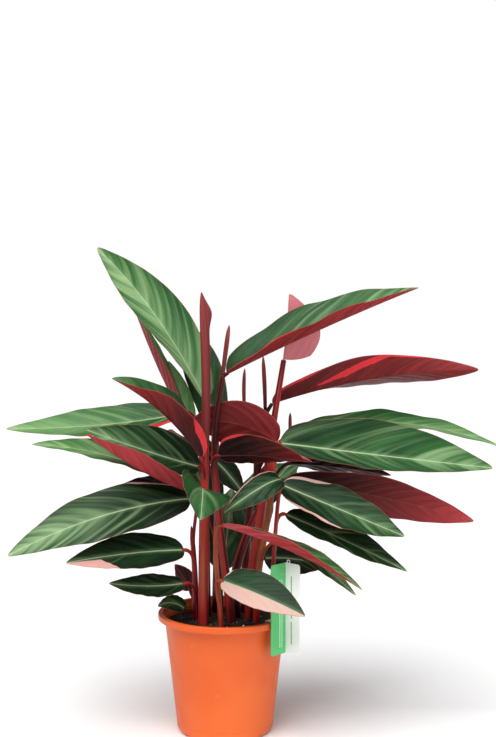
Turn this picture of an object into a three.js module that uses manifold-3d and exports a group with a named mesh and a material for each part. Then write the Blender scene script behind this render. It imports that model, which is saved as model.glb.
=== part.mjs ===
// Stromanthe triostar in a nursery pot, life size.
//
// Millimetres, +Z up. The origin is the centre of the pot's flat bottom, so the pot stands on z = 0.
// +X is to the right and -Y is the front, the side that the hanging label faces.
//
// A stromanthe is a clump of leafy shoots. Each shoot is a stem of wrapped leaf sheaths that stands in
// the soil, and each leaf has a thin stalk that leaves the stem and ends at the base of its blade.
// Blades are dark green above and maroon below. New leaves stand up as tightly rolled spears.

import * as THREE from "three";
import { mergeVertices } from "three/addons/utils/BufferGeometryUtils.js";
import Module from "manifold-3d";

const wasm = await Module();
wasm.setup();

// ---------------------------------------------------------------- driving dimensions

const CLEARANCE = 0.3; // between pieces that touch on the real plant

const POT = {
  rimRadius: 85, // a 17 cm pot, measured over its lip
  height: 150,
  lipDepth: 8,
  lipWall: 6.3, // from the lip's outside to the mouth
  lipRound: 1.4, // on all the lip's edges
  shoulder: 4.5, // height of the slope inside the lip, from its mouth in to the wall
  bodyTopRadius: 76.7, // outside, just under the lip
  baseRadius: 60.2,
  baseFillet: 7.6,
  wall: 1.6,
  floor: 2,
  sides: 48,
  drainHoles: 8,
  drainRadius: 4,
  drainCircle: 40,
};

const SOIL = { edgeHeight: 137, crown: 4, lumpHeight: 1.2, lumpPitch: [30, 37, 19], rings: 4, gap: 0.5 };

const STEM = {
  bottom: 95, // the stems' cut ends, well down in the soil
  straightTo: 146, // upright from there to just above the soil
  sides: 8,
  steps: 9,
  stalkRadius: 2.2,
  stalkSides: 6,
  stalkSteps: 7,
  stalkLeave: 0.45, // share of its reach that a stalk first keeps to its stem's direction
  stalkArrive: [0.3, 16], // share of its reach, and most, that it ends in the blade's direction
};

const BLADE = {
  thickness: 0.8,
  rows: 11,
  rowsOfSmall: 8, // on a blade up to 126 mm long
  smallLength: 126,
  columns: 4,
  stalkHalf: 1.6, // half width where the blade meets its stalk
  tipHalf: 0.35,
  setBack: 0.6, // how far the round base's margins lie back, as a share of their distance out
  setBackMost: 0.4, // and the most, as a share of the distance from the base
};

const SPEAR = { foot: 0.8, swell: 0.3, tipRadius: 0.3 }; // radii, the first two as shares of its own

const LABEL = {
  azimuth: -43.5, // degrees round the pot from +X
  bottom: 110,
  top: 222,
  panels: [27, 23], // widths of the panel on the clip and of the one that turns out
  pastClip: 9, // from the card's left edge to the clip's middle
  fold: 92, // degrees between the panels
  thickness: 0.8,
};

const CLIP = { wall: 1.5, width: 8, insideDrop: 9, outsideDrop: 26 };
const CLIP_INSIDE = POT.bodyTopRadius - POT.wall - 2 * CLEARANCE; // radius of its inner leg's outside
const CLIP_OUTSIDE = POT.rimRadius + CLEARANCE + CLIP.wall; // and of its outer leg's

const COLOUR = {
  pot: 0xe86420,
  soil: 0x2e211b,
  stem: 0x7c3326,
  leaf: 0x2f5f3a,
  spear: 0x8e3038,
  green: 0x35b558,
  clip: 0xf2f2f0,
};

// ---------------------------------------------------------------- the shoots and their leaves

// axis: points up the stem, from just above the soil, mm. radius: at the soil and at the top.
// A leaf's row: base, middle and tip of its midrib; halves: greatest width left and right of the
// midrib, seen from the base with the upper side up; face: where the upper side looks, at the base
// and at the tip; fold: how far each half is raised from flat, degrees; curl: how much more it turns
// up on its way to the margin; wave: height and number of the margin's waves; parts: the height at
// which its stalk parts from the stem, or 0 where the blade stands on the stem's own top.
const SHOOTS = [
  {
    name: "shoot_front_left",
    axis: [[-26, -28], [-26, -29, 250], [-24, -28, 366]],
    radius: [7, 5],
    spears: [
      { name: "spear_tall", base: [-24, -28, 367], middle: [-23.5, -27, 471], tip: [-28.5, -26, 555], radius: 6 },
    ],
    leaves: [
      { name: "leaf_05", parts: 300, base: [-29, -42.5, 350], middle: [-73, -66, 407], tip: [-131, -100, 451],
        halves: [25, 30], face: [[-2, 5, 9], [3, -2, 8]], fold: [38, 86], curl: [14, 8], wave: [2, 2] },
      { name: "leaf_08", parts: 255, base: [-43, -38, 309], middle: [-100, -64, 338], tip: [-162, -98, 385],
        halves: [22, 21], face: [[0, 0, 1], [0, 1, 6]], fold: [46, 54], curl: [14, 10], wave: [1, 2] },
      { name: "leaf_16", parts: 262, base: [-27, -45, 313], middle: [-25, -84, 312], tip: [-26, -120, 287],
        halves: [34, 34], face: [[4, -3, 8], [2, -6, 7]], fold: [4, 22], curl: [6, 14], wave: [1, 1] },
    ],
  },
  {
    name: "shoot_front",
    axis: [[-4, -50], [-8, -53, 200], [-11, -58, 252]],
    radius: [3.8, 2.6],
    spears: [],
    leaves: [
      { name: "leaf_30", parts: 235, base: [-2, -66, 271], middle: [87, -85, 241], tip: [164, -104, 201],
        halves: [25, 15], face: [[0, 1, 9], [1, -3, 9]], fold: [12, 60], curl: [8, 6], wave: [1, 2] },
      { name: "leaf_32", parts: 152, base: [-2, -70, 204], middle: [45, -95, 192], tip: [96, -117, 173],
        halves: [27, 18], face: [[0, -8, 6], [1, -8, 6]], fold: [4, 4], curl: [6, 6], wave: [1, 1] },
    ],
  },
  {
    name: "shoot_mid",
    axis: [[8, -16], [-6, -16, 260], [-13, -14, 372], [-2, -15, 452]],
    radius: [6.4, 3],
    spears: [
      { name: "spear_front", base: [-2, -15, 453], middle: [2, -16, 484], tip: [6, -16, 514], radius: 2.7 },
    ],
    leaves: [
      { name: "leaf_20", parts: 405, base: [3, -7, 453], middle: [122, -16, 510], tip: [239, -40, 560],
        halves: [40, 19], face: [[-4, -1, 9], [-3, 1, 9]], fold: [56, 40], curl: [12, 10], wave: [2, 3] },
      { name: "leaf_17", parts: 300, base: [-7, -34, 352], middle: [46, -50, 354], tip: [107, -62, 348],
        halves: [17, 30], face: [[0, 9, 3], [0, 4, 9]], fold: [8, 8], curl: [12, 12], wave: [1, 1] },
    ],
  },
  {
    name: "shoot_tall",
    axis: [[31, -5], [35, -5, 205], [44, -5, 262], [52, -5, 318], [62, 2, 392], [75, 20, 469]],
    radius: [6.8, 3.4],
    spears: [],
    leaves: [
      { name: "leaf_22", parts: 0, base: [75.5, 20.5, 470], middle: [80, 24, 511], tip: [83, 25, 554],
        halves: [42, 13], face: [[1, 9, 0], [1, 9, 0]], fold: [2, 60], curl: [8, 170], wave: [0, 1] },
      { name: "leaf_18", parts: 320, base: [66, -9.5, 367], middle: [14, -6, 390], tip: [-44, 1, 391],
        halves: [29, 33], face: [[0, 9, 1], [0, 9, 1]], fold: [3, 3], curl: [6, 6], wave: [2, 1] },
    ],
  },
  {
    name: "shoot_right",
    axis: [[40, -16], [43, -16, 205], [57, -18, 290], [62, -20, 345]],
    radius: [5.2, 3.4],
    spears: [],
    leaves: [
      { name: "leaf_24", parts: 310, base: [69, -22, 367], middle: [199, -34, 352], tip: [329, -50, 339],
        halves: [43, 26], face: [[0, -9, 4], [0, -9, 4]], fold: [10, 30], curl: [6, 10], wave: [2, 3] },
      { name: "leaf_28", parts: 262, base: [71, -24, 315], middle: [148, -46, 285], tip: [219, -66, 258],
        halves: [28, 28], face: [[1, -7, 6], [1, -7, 6]], fold: [8, 8], curl: [8, 8], wave: [2, 3] },
      { name: "leaf_23", parts: 205, base: [74, -50, 247], middle: [113, -66, 226], tip: [158, -88, 191],
        halves: [11, 8], face: [[0, -4, 7], [0, -7, 7]], fold: [4, 4], curl: [8, 8], wave: [1, 1] },
    ],
  },
  {
    name: "shoot_inner_right",
    axis: [[13, 8], [14.5, 11, 200], [42, 14, 275], [60, 12, 298]],
    radius: [8.4, 3.4],
    spears: [],
    leaves: [
      { name: "leaf_27", parts: 250, base: [79, 6, 316], middle: [204, 6, 294], tip: [315, -6, 266],
        halves: [36, 27], face: [[0, 8, 5], [0, 8, 4]], fold: [6, 6], curl: [8, 8], wave: [2, 2] },
      { name: "leaf_26", parts: 230, base: [84, 24, 336], middle: [147, 26, 331], tip: [214, 26, 320],
        halves: [20, 20], face: [[0, 6, 8], [0, 6, 8]], fold: [8, 8], curl: [8, 8], wave: [2, 2] },
    ],
  },
  {
    name: "shoot_thin",
    axis: [[58, -31], [60, -33, 200], [66, -36, 290], [70, -39.2, 322.6]],
    radius: [3.4, 2.3],
    spears: [],
    leaves: [
      { name: "leaf_33", parts: 0, base: [70, -40, 323.6], middle: [45, -49, 315], tip: [0, -51, 284],
        halves: [20, 17], face: [[-1, -5, 6], [0, -8, 5]], fold: [4, 4], curl: [6, 6], wave: [1, 1] },
      { name: "leaf_29", parts: 215, base: [77, -22, 277], middle: [150, -32, 246], tip: [225, -47, 211],
        halves: [23, 20], face: [[0, -5, 8], [1, -5, 8]], fold: [12, 8], curl: [8, 8], wave: [2, 2] },
    ],
  },
  {
    name: "shoot_back_left",
    axis: [[-24, 10], [-25, 12, 260], [-26, 14, 400], [-26, 14, 418]],
    radius: [6.6, 3.2],
    spears: [],
    leaves: [
      { name: "leaf_01", parts: 0, base: [-26.5, 14.5, 419], middle: [-90, 48, 524], tip: [-171, 80, 617],
        halves: [31, 37], face: [[7, -9, 5], [-3, -9, -1]], fold: [44, 8], curl: [8, 10], wave: [1, 2] },
      { name: "leaf_06", parts: 330, base: [-52, 25, 401], middle: [-157, 20, 386], tip: [-279, 8, 382],
        halves: [31, 29], face: [[0, -5, 8], [0, -5, 8]], fold: [10, 16], curl: [8, 8], wave: [1, 3] },
      { name: "leaf_07", parts: 280, base: [-33, -3, 335], middle: [-92, -28, 356], tip: [-167, -55, 386],
        halves: [24, 34], face: [[0, -8, 6], [0, -8, 6]], fold: [6, 6], curl: [8, 14], wave: [1, 2] },
      { name: "leaf_09", parts: 255, base: [-55, 0, 315], middle: [-149, -18, 351], tip: [-237, -40, 367],
        halves: [24, 24], face: [[0, -4, 9], [0, -4, 9]], fold: [12, 12], curl: [8, 8], wave: [1, 3] },
      { name: "leaf_10", parts: 235, base: [-42, 8, 290], middle: [-90, 12, 309], tip: [-146, 14, 300],
        halves: [20, 20], face: [[0, -3, 9], [0, -3, 9]], fold: [10, 10], curl: [8, 8], wave: [1, 1] },
    ],
  },
  {
    name: "shoot_back",
    axis: [[-10, 38], [-10, 38, 260], [-12, 36, 370]],
    radius: [8.4, 3.2],
    spears: [],
    leaves: [
      { name: "leaf_02", parts: 0, base: [-12, 36.3, 371], middle: [-36, 72, 460], tip: [-74, 108, 530],
        halves: [23, 27], face: [[1, -8, 5], [1, -8, 4]], fold: [8, 8], curl: [8, 8], wave: [1, 2] },
      { name: "leaf_03", parts: 300, base: [-50, 54, 383], middle: [-88, 80, 452], tip: [-126, 102, 541],
        halves: [20, 22], face: [[7, -2, 4], [7, -2, 4]], fold: [50, 24], curl: [10, 10], wave: [1, 1] },
      { name: "leaf_04", parts: 320, base: [-44, 42, 388], middle: [-60, 48, 427], tip: [-75, 54, 467],
        halves: [12, 12], face: [[4, -6, 3], [4, -6, 3]], fold: [36, 36], curl: [30, 30], wave: [0, 1] },
      { name: "leaf_19", parts: 280, base: [-12, 26, 338], middle: [5, 22, 321], tip: [24, 22, 296],
        halves: [15, 15], face: [[3, -8, 3], [3, -8, 3]], fold: [4, 4], curl: [6, 6], wave: [1, 1] },
      { name: "leaf_back_1", parts: 260, base: [-24, 62, 330], middle: [-60, 112, 360], tip: [-105, 165, 332],
        halves: [29, 29], face: [[1, 3, 9], [-1, 3, 9]], fold: [10, 10], curl: [8, 8], wave: [2, 3] },
      { name: "leaf_back_5", parts: 165, base: [-4, 56, 190], middle: [2, 98, 240], tip: [6, 142, 286],
        halves: [28, 28], face: [[0, 0, 1], [0, 3, 9]], fold: [10, 10], curl: [8, 8], wave: [1, 2] },
      { name: "leaf_back_4", parts: 200, base: [-22, 60, 262], middle: [-36, 106, 302], tip: [-52, 152, 334],
        halves: [28, 28], face: [[0, 0, 1], [0, 3, 9]], fold: [10, 10], curl: [8, 8], wave: [2, 2] },
    ],
  },
  {
    name: "shoot_left_low",
    axis: [[-37, -9], [-38, -10, 200], [-42, -18, 262]],
    radius: [4.8, 2.8],
    spears: [],
    leaves: [
      { name: "leaf_11", parts: 230, base: [-43, -28, 298], middle: [-151, -62, 281], tip: [-256, -96, 240],
        halves: [36, 34], face: [[-1, -8, 6], [-1, -7, 6]], fold: [6, 6], curl: [6, 6], wave: [2, 3] },
      { name: "leaf_12", parts: 165, base: [-50, -40, 236], middle: [-116, -68, 237], tip: [-187, -94, 231],
        halves: [24, 27], face: [[0, -7, 7], [0, -7, 7]], fold: [4, 4], curl: [6, 6], wave: [1, 2] },
      { name: "leaf_13", parts: 150, base: [-50, -38, 194], middle: [-92, -58, 195], tip: [-138, -78, 203],
        halves: [16, 16], face: [[0, -7, 7], [0, -7, 7]], fold: [4, 4], curl: [6, 6], wave: [1, 2] },
      { name: "leaf_14", parts: 150, base: [-44, -3, 177], middle: [-52, 0, 193], tip: [-64, 3, 209],
        halves: [12, 12], face: [[2, 9, 2], [2, 9, 2]], fold: [4, 4], curl: [6, 6], wave: [0, 1] },
      { name: "leaf_15", parts: 147, base: [-50, -17, 156], middle: [-66, -20, 165], tip: [-84, -20, 161],
        halves: [11, 11], face: [[0, -6, 7], [0, -6, 7]], fold: [4, 4], curl: [6, 6], wave: [0, 1] },
    ],
  },
  {
    name: "shoot_back_right",
    axis: [[27, 36], [30, 38, 260], [46, 38, 350], [52, 37, 396], [60.3, 36, 412.2]],
    radius: [7.4, 2.4],
    spears: [
      { name: "spear_back_right", parts: 350, base: [52, 46, 406], middle: [51, 46, 440], tip: [49, 44, 474],
        radius: 2.5 },
      { name: "spear_back_mid", parts: 300, base: [25, 88, 398], middle: [24, 90, 426], tip: [25, 90, 456],
        radius: 2.3 },
      { name: "spear_small", parts: 300, base: [84, 30, 368], middle: [84, 30, 384], tip: [84, 30, 401],
        radius: 2 },
    ],
    leaves: [
      { name: "leaf_21", parts: 0, base: [61, 36, 413], middle: [194, 32, 446], tip: [325, 20, 457],
        halves: [40, 28], face: [[0, 4, 8], [-1, 9, 2]], fold: [34, 40], curl: [10, 10], wave: [2, 2] },
      { name: "leaf_25", parts: 310, base: [98, 38, 378], middle: [228, 46, 386], tip: [358, 38, 356],
        halves: [26, 30], face: [[0, -3, 9], [0, -3, 9]], fold: [10, 10], curl: [8, 8], wave: [2, 3] },
      { name: "leaf_31", parts: 160, base: [50, 26, 212], middle: [90, 26, 211], tip: [133, 22, 202],
        halves: [27, 27], face: [[0, -6, 7], [0, -6, 7]], fold: [4, 4], curl: [6, 6], wave: [1, 1] },
      { name: "leaf_back_2", parts: 220, base: [44, 62, 270], middle: [70, 114, 304], tip: [96, 168, 322],
        halves: [28, 28], face: [[0, 0, 1], [1, 3, 9]], fold: [10, 10], curl: [8, 8], wave: [2, 3] },
      { name: "leaf_back_3", parts: 180, base: [32, 60, 226], middle: [38, 102, 272], tip: [44, 148, 312],
        halves: [28, 28], face: [[0, 0, 1], [0, 3, 9]], fold: [10, 10], curl: [8, 8], wave: [2, 2] },
    ],
  },
];

// ---------------------------------------------------------------- helpers

const vector = (values) => new THREE.Vector3(...values);
const radians = THREE.MathUtils.degToRad;

// A value between the first and the last of a pair, part of the way along.
const between = ([first, last], part) => first + (last - first) * part;

function solidOf(geometry) {
  const bare = new THREE.BufferGeometry();
  bare.setAttribute("position", geometry.getAttribute("position").clone());
  bare.setIndex(geometry.index);
  const merged = mergeVertices(bare);
  const mesh = new wasm.Mesh({
    numProp: 3,
    vertProperties: new Float32Array(merged.getAttribute("position").array),
    triVerts: new Uint32Array(merged.index.array),
  });
  return new wasm.Manifold(mesh);
}

function geometryOf(solid) {
  const mesh = solid.getMesh();
  const geometry = new THREE.BufferGeometry();
  geometry.setAttribute("position", new THREE.BufferAttribute(mesh.vertProperties, 3));
  geometry.setIndex(new THREE.BufferAttribute(mesh.triVerts, 1));
  return geometry;
}

function indexedGeometry(points, triangles) {
  const geometry = new THREE.BufferGeometry();
  geometry.setFromPoints(points);
  geometry.setIndex(triangles);
  return geometry;
}

// A closed skin over a row of rings that all have the same number of points.
function skin(rings) {
  const sides = rings[0].length;
  const last = rings.length - 1;
  const points = rings.flat();
  const triangles = [];
  for (let ring = 0; ring < last; ring += 1) {
    for (let side = 0; side < sides; side += 1) {
      const a = ring * sides + side;
      const b = ring * sides + ((side + 1) % sides);
      triangles.push(a, b, b + sides, a, b + sides, a + sides);
    }
  }
  for (let side = 1; side < sides - 1; side += 1) {
    triangles.push(0, side + 1, side);
    triangles.push(last * sides, last * sides + side, last * sides + side + 1);
  }
  return indexedGeometry(points, triangles);
}

// A round stem along a curve. radiusAt gives its radius for a part of the way along, from 0 to 1.
function roundStem(curve, radiusAt, sides, steps) {
  const frames = curve.computeFrenetFrames(steps, false);
  const rings = [];
  for (let step = 0; step <= steps; step += 1) {
    const part = step / steps;
    const centre = curve.getPointAt(part);
    const ring = [];
    for (let side = 0; side < sides; side += 1) {
      const angle = (2 * Math.PI * side) / sides;
      const point = centre.clone();
      point.addScaledVector(frames.normals[step], radiusAt(part) * Math.cos(angle));
      point.addScaledVector(frames.binormals[step], radiusAt(part) * Math.sin(angle));
      ring.push(point);
    }
    rings.push(ring);
  }
  return skin(rings);
}

// ---------------------------------------------------------------- blades

// Half width along the blade, as a share of its greatest: blunt at the base, fullest just before
// the middle, and drawn out to the tip.
function bladeOutline(part) {
  return Math.sin(Math.PI * part ** 0.88) ** 0.62 * (1 - 0.45 * part ** 5);
}

// The parabola through the midrib's base, middle and tip, and its direction.
function midrib(leaf, part) {
  const [base, middle, tip] = [leaf.base, leaf.middle, leaf.tip].map(vector);
  const point = base.clone().multiplyScalar((1 - part) * (1 - 2 * part));
  point.addScaledVector(middle, 4 * part * (1 - part));
  point.addScaledVector(tip, part * (2 * part - 1));
  const direction = base.multiplyScalar(4 * part - 3);
  direction.addScaledVector(middle, 4 - 8 * part);
  direction.addScaledVector(tip, 4 * part - 1);
  return { point, direction: direction.normalize() };
}

// A point of the surface that the blade lies in. part runs from base to tip, across from -1 at the
// left margin to 1 at the right one. Each half is an arc that starts at its fold angle and turns by
// its curl on the way out, and both ease off where the blade narrows.
function surfacePoint(leaf, part, across) {
  const { point, direction } = midrib(leaf, part);
  const up = vector(leaf.face[0]).normalize().lerp(vector(leaf.face[1]).normalize(), part);
  up.addScaledVector(direction, -up.dot(direction)).normalize();
  const side = new THREE.Vector3().crossVectors(direction, up);

  const half = across < 0 ? 0 : 1;
  const width = leaf.halves[half] * bladeOutline(part) + between([BLADE.stalkHalf, BLADE.tipHalf], part);
  const easing = width / (width + 3);
  const fold = radians(leaf.fold[half]) * easing;
  const curl = Math.max(radians(leaf.curl[half]) * easing, 1e-4);
  const turned = fold + curl * Math.abs(across);
  const out = (width * (Math.sin(turned) - Math.sin(fold))) / curl;
  const raised = (width * (Math.cos(fold) - Math.cos(turned))) / curl;
  const [waveHeight, waves] = leaf.wave;
  const phase = 2 * Math.PI * waves * part + (half === 0 ? 0 : 2);
  const wave = waveHeight * across ** 2 * Math.sin(phase) * bladeOutline(part);


  point.addScaledVector(side, Math.sign(across) * out);
  point.addScaledVector(up, raised + wave);
  return point;
}

// The surface's own upward direction at a point, from its neighbours.
function bladeNormal(leaf, part, across) {
  const step = 0.004;
  const along = surfacePoint(leaf, Math.min(part + step, 1), across);
  along.sub(surfacePoint(leaf, Math.max(part - step, 0), across));
  const sideways = surfacePoint(leaf, part, Math.min(across + step, 1));
  sideways.sub(surfacePoint(leaf, part, Math.max(across - step, -1)));
  return sideways.cross(along).normalize();
}

// A point of the blade itself, whose round base lobes are set back along the midrib.
function bladePoint(leaf, part, across) {
  const { point, direction } = midrib(leaf, part);
  const lobe = leaf.halves[across < 0 ? 0 : 1] * bladeOutline(part) * Math.abs(across);
  const most = BLADE.setBackMost * point.distanceTo(vector(leaf.base));
  const setBack = Math.min(BLADE.setBack * lobe * (1 - part) ** 6, most);
  return surfacePoint(leaf, part, across).addScaledVector(direction, -setBack);
}

// A blade of even thickness: an upper and a lower face with the same triangles, and a rim.
function bladeGeometry(leaf) {
  const length = vector(leaf.base).distanceTo(vector(leaf.tip));
  const rows = length > BLADE.smallLength ? BLADE.rows : BLADE.rowsOfSmall;
  const columns = BLADE.columns;
  const points = [];
  for (const face of [0.5, -0.5]) {
    for (let row = 0; row <= rows; row += 1) {
      const part = (1 - Math.cos((Math.PI * row) / rows)) / 2;
      for (let column = 0; column <= columns; column += 1) {
        const across = (2 * column) / columns - 1;
        const point = bladePoint(leaf, part, across);
        points.push(point.addScaledVector(bladeNormal(leaf, part, across), face * BLADE.thickness));
      }
    }
  }
  const rowLength = columns + 1;
  const lower = (rows + 1) * rowLength;
  const triangles = [];
  for (let row = 0; row < rows; row += 1) {
    for (let column = 0; column < columns; column += 1) {
      const a = row * rowLength + column;
      const b = a + 1;
      const c = b + rowLength;
      const d = a + rowLength;
      triangles.push(a, b, c, a, c, d);
      triangles.push(lower + a, lower + c, lower + b, lower + a, lower + d, lower + c);
    }
  }
  const border = [];
  for (let column = 0; column < columns; column += 1) border.push(column);
  for (let row = 0; row < rows; row += 1) border.push(row * rowLength + columns);
  for (let column = columns; column > 0; column -= 1) border.push(rows * rowLength + column);
  for (let row = rows; row > 0; row -= 1) border.push(row * rowLength);
  border.forEach((a, place) => {
    const b = border[(place + 1) % border.length];
    triangles.push(a, lower + a, lower + b, a, lower + b, b);
  });
  return indexedGeometry(points, triangles);
}

// A rolled young leaf: round, swelling a little on the way up, and then drawn in to a point.
function spearGeometry(spear) {
  const curve = new THREE.QuadraticBezierCurve3(
    vector(spear.base),
    vector(spear.middle).multiplyScalar(2).addScaledVector(vector(spear.base), -0.5)
      .addScaledVector(vector(spear.tip), -0.5),
    vector(spear.tip),
  );
  const radiusAt = (part) =>
    spear.radius * (SPEAR.foot + SPEAR.swell * part) * (1 - part ** 6) ** 0.8 + SPEAR.tipRadius;
  return roundStem(curve, radiusAt, STEM.sides, STEM.steps);
}

// ---------------------------------------------------------------- shoots

// The stem's middle line, upright through the soil and then through its own points.
function stemCurve(shoot) {
  const [foot, ...above] = shoot.axis;
  return new THREE.CatmullRomCurve3([
    vector([...foot, STEM.bottom]),
    vector([...foot, STEM.straightTo]),
    ...above.map(vector),
  ]);
}

// How far along the stem a height is reached.
function partAtHeight(curve, height) {
  let low = 0;
  let high = 1;
  for (let halving = 0; halving < 24; halving += 1) {
    const part = (low + high) / 2;
    if (curve.getPointAt(part).z < height) low = part;
    else high = part;
  }
  return low;
}

// A leaf's stalk. It parts from inside the stem and ends just short of the blade's base.
function stalkCurve(stem, leaf) {
  const part = partAtHeight(stem, leaf.parts);
  const start = stem.getPointAt(part);
  const arrival = midrib(leaf, 0).direction;
  const end = vector(leaf.base).addScaledVector(arrival, -2 * CLEARANCE);
  const reach = start.distanceTo(end);
  const [share, most] = STEM.stalkArrive;
  return new THREE.CubicBezierCurve3(
    start,
    start.clone().addScaledVector(stem.getTangentAt(part), STEM.stalkLeave * reach),
    end.clone().addScaledVector(arrival, -Math.min(share * reach, most)),
    end,
  );
}

function shootGeometry(shoot) {
  const stem = stemCurve(shoot);
  let solid = solidOf(roundStem(stem, (part) => between(shoot.radius, part), STEM.sides, STEM.steps));
  for (const leaf of [...shoot.spears, ...shoot.leaves]) {
    if (!leaf.parts) continue; // it stands on the stem's own top
    const stalk = stalkCurve(stem, leaf);
    const radiusAt = () => STEM.stalkRadius;
    solid = solid.add(solidOf(roundStem(stalk, radiusAt, STEM.stalkSides, STEM.stalkSteps)));
  }
  return geometryOf(solid);
}

// ---------------------------------------------------------------- pot and soil

// Outside radius of the pot's tapered body at a height.
function bodyRadius(height) {
  const lipBottom = POT.height - POT.lipDepth;
  return between([POT.baseRadius, POT.bodyTopRadius], height / lipBottom);
}

function quarterRound(centreRadius, centreHeight, radius, steps) {
  const points = [];
  for (let step = 0; step <= steps; step += 1) {
    const angle = (Math.PI / 2) * (step / steps);
    const across = centreRadius + radius * Math.sin(angle);
    points.push(new THREE.Vector2(across, centreHeight - radius * Math.cos(angle)));
  }
  return points;
}

function potGeometry() {
  const lipBottom = POT.height - POT.lipDepth;
  const mouth = POT.rimRadius - POT.lipWall;
  const innerFillet = POT.baseFillet - POT.wall;
  const filletCentre = bodyRadius(POT.baseFillet) - POT.baseFillet;
  const inner = quarterRound(filletCentre, POT.floor + innerFillet, innerFillet, 3).reverse();
  const profile = [
    new THREE.Vector2(0, 0),
    ...quarterRound(filletCentre, POT.baseFillet, POT.baseFillet, 4),
    new THREE.Vector2(POT.bodyTopRadius, lipBottom),
    new THREE.Vector2(POT.rimRadius - POT.lipRound, lipBottom),
    new THREE.Vector2(POT.rimRadius, lipBottom + POT.lipRound),
    new THREE.Vector2(POT.rimRadius, POT.height - POT.lipRound),
    new THREE.Vector2(POT.rimRadius - POT.lipRound, POT.height),
    new THREE.Vector2(mouth + POT.lipRound, POT.height),
    new THREE.Vector2(mouth, POT.height - POT.lipRound),
    new THREE.Vector2(mouth, lipBottom + POT.shoulder),
    new THREE.Vector2(POT.bodyTopRadius - POT.wall, lipBottom),
    ...inner,
    new THREE.Vector2(0, POT.floor),
  ];
  let solid = solidOf(uprightLathe(profile));
  for (let hole = 0; hole < POT.drainHoles; hole += 1) {
    const angle = (2 * Math.PI * hole) / POT.drainHoles;
    const drill = new THREE.CylinderGeometry(POT.drainRadius, POT.drainRadius, 3 * POT.floor, 12);
    drill.rotateX(Math.PI / 2);
    drill.translate(POT.drainCircle * Math.cos(angle), POT.drainCircle * Math.sin(angle), POT.floor / 2);
    solid = solid.subtract(solidOf(drill));
  }
  return geometryOf(solid);
}

// A lathe turned about Z. LatheGeometry itself turns about Y.
function uprightLathe(profile) {
  const geometry = new THREE.LatheGeometry(profile, POT.sides);
  geometry.rotateX(Math.PI / 2);
  return geometry;
}

// Lumps of potting soil, as a sum of waves that never repeat across the pot.
function lump(x, y) {
  const [acrossX, acrossY, aslant] = SOIL.lumpPitch.map((pitch) => (2 * Math.PI) / pitch);
  return SOIL.lumpHeight * (Math.sin(x * acrossX) * Math.cos(y * acrossY) + 0.6 * Math.sin((x - y) * aslant));
}

function soilGeometry() {
  const inside = (height) => bodyRadius(height) - POT.wall - SOIL.gap;
  const bottom = POT.floor + CLEARANCE;
  const innerFillet = POT.baseFillet - POT.wall;
  const profile = [
    new THREE.Vector2(0, bottom),
    new THREE.Vector2(inside(innerFillet) - innerFillet, bottom),
    new THREE.Vector2(inside(bottom + innerFillet), bottom + innerFillet),
    new THREE.Vector2(inside(SOIL.edgeHeight), SOIL.edgeHeight),
  ];
  for (let ring = SOIL.rings - 1; ring >= 0; ring -= 1) {
    const share = ring / SOIL.rings;
    profile.push(new THREE.Vector2(
      share * inside(SOIL.edgeHeight),
      SOIL.edgeHeight + SOIL.crown * (1 - share ** 2),
    ));
  }
  const geometry = uprightLathe(profile);
  const position = geometry.getAttribute("position");
  for (let index = 0; index < position.count; index += 1) {
    const [x, y, z] = [position.getX(index), position.getY(index), position.getZ(index)];
    if (z > SOIL.edgeHeight + 0.1) position.setZ(index, z + lump(x, y));
  }
  let solid = solidOf(geometry);
  for (const shoot of SHOOTS) {
    const [x, y] = shoot.axis[0];
    const radius = shoot.radius[0] + 2 * CLEARANCE;
    const bottomOfHole = STEM.bottom - CLEARANCE;
    const depth = POT.height - bottomOfHole;
    const drill = new THREE.CylinderGeometry(radius, radius, depth, 16);
    drill.rotateX(Math.PI / 2);
    drill.translate(x, y, bottomOfHole + depth / 2);
    solid = solid.subtract(solidOf(drill));
  }
  return geometryOf(solid);
}

// ---------------------------------------------------------------- label

// A tall card folded once down its middle. Its left panel stands flat against the clip, square to
// the pot's radius, and its right panel turns out towards the front.
function labelGeometry() {
  const azimuth = radians(LABEL.azimuth);
  const outward = new THREE.Vector2(Math.cos(azimuth), Math.sin(azimuth));
  const along = new THREE.Vector2(-outward.y, outward.x);
  const start = outward.clone().multiplyScalar(CLIP_OUTSIDE + CLEARANCE)
    .addScaledVector(along, -LABEL.pastClip);
  const fold = start.clone().addScaledVector(along, LABEL.panels[0]);
  const turned = along.clone().rotateAround(new THREE.Vector2(), -radians(180 - LABEL.fold));
  const end = fold.clone().addScaledVector(turned, LABEL.panels[1]);
  const turnedOut = new THREE.Vector2(turned.y, -turned.x);
  const inner = fold.clone().addScaledVector(outward, LABEL.thickness)
    .addScaledVector(turned, LABEL.thickness);
  const plan = new THREE.Shape([
    start,
    start.clone().addScaledVector(outward, LABEL.thickness),
    inner,
    end.clone().addScaledVector(turnedOut, LABEL.thickness),
    end,
    fold,
  ]);
  const card = new THREE.ExtrudeGeometry(plan, { depth: LABEL.top - LABEL.bottom, bevelEnabled: false });
  card.translate(0, 0, LABEL.bottom);
  return card;
}

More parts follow.
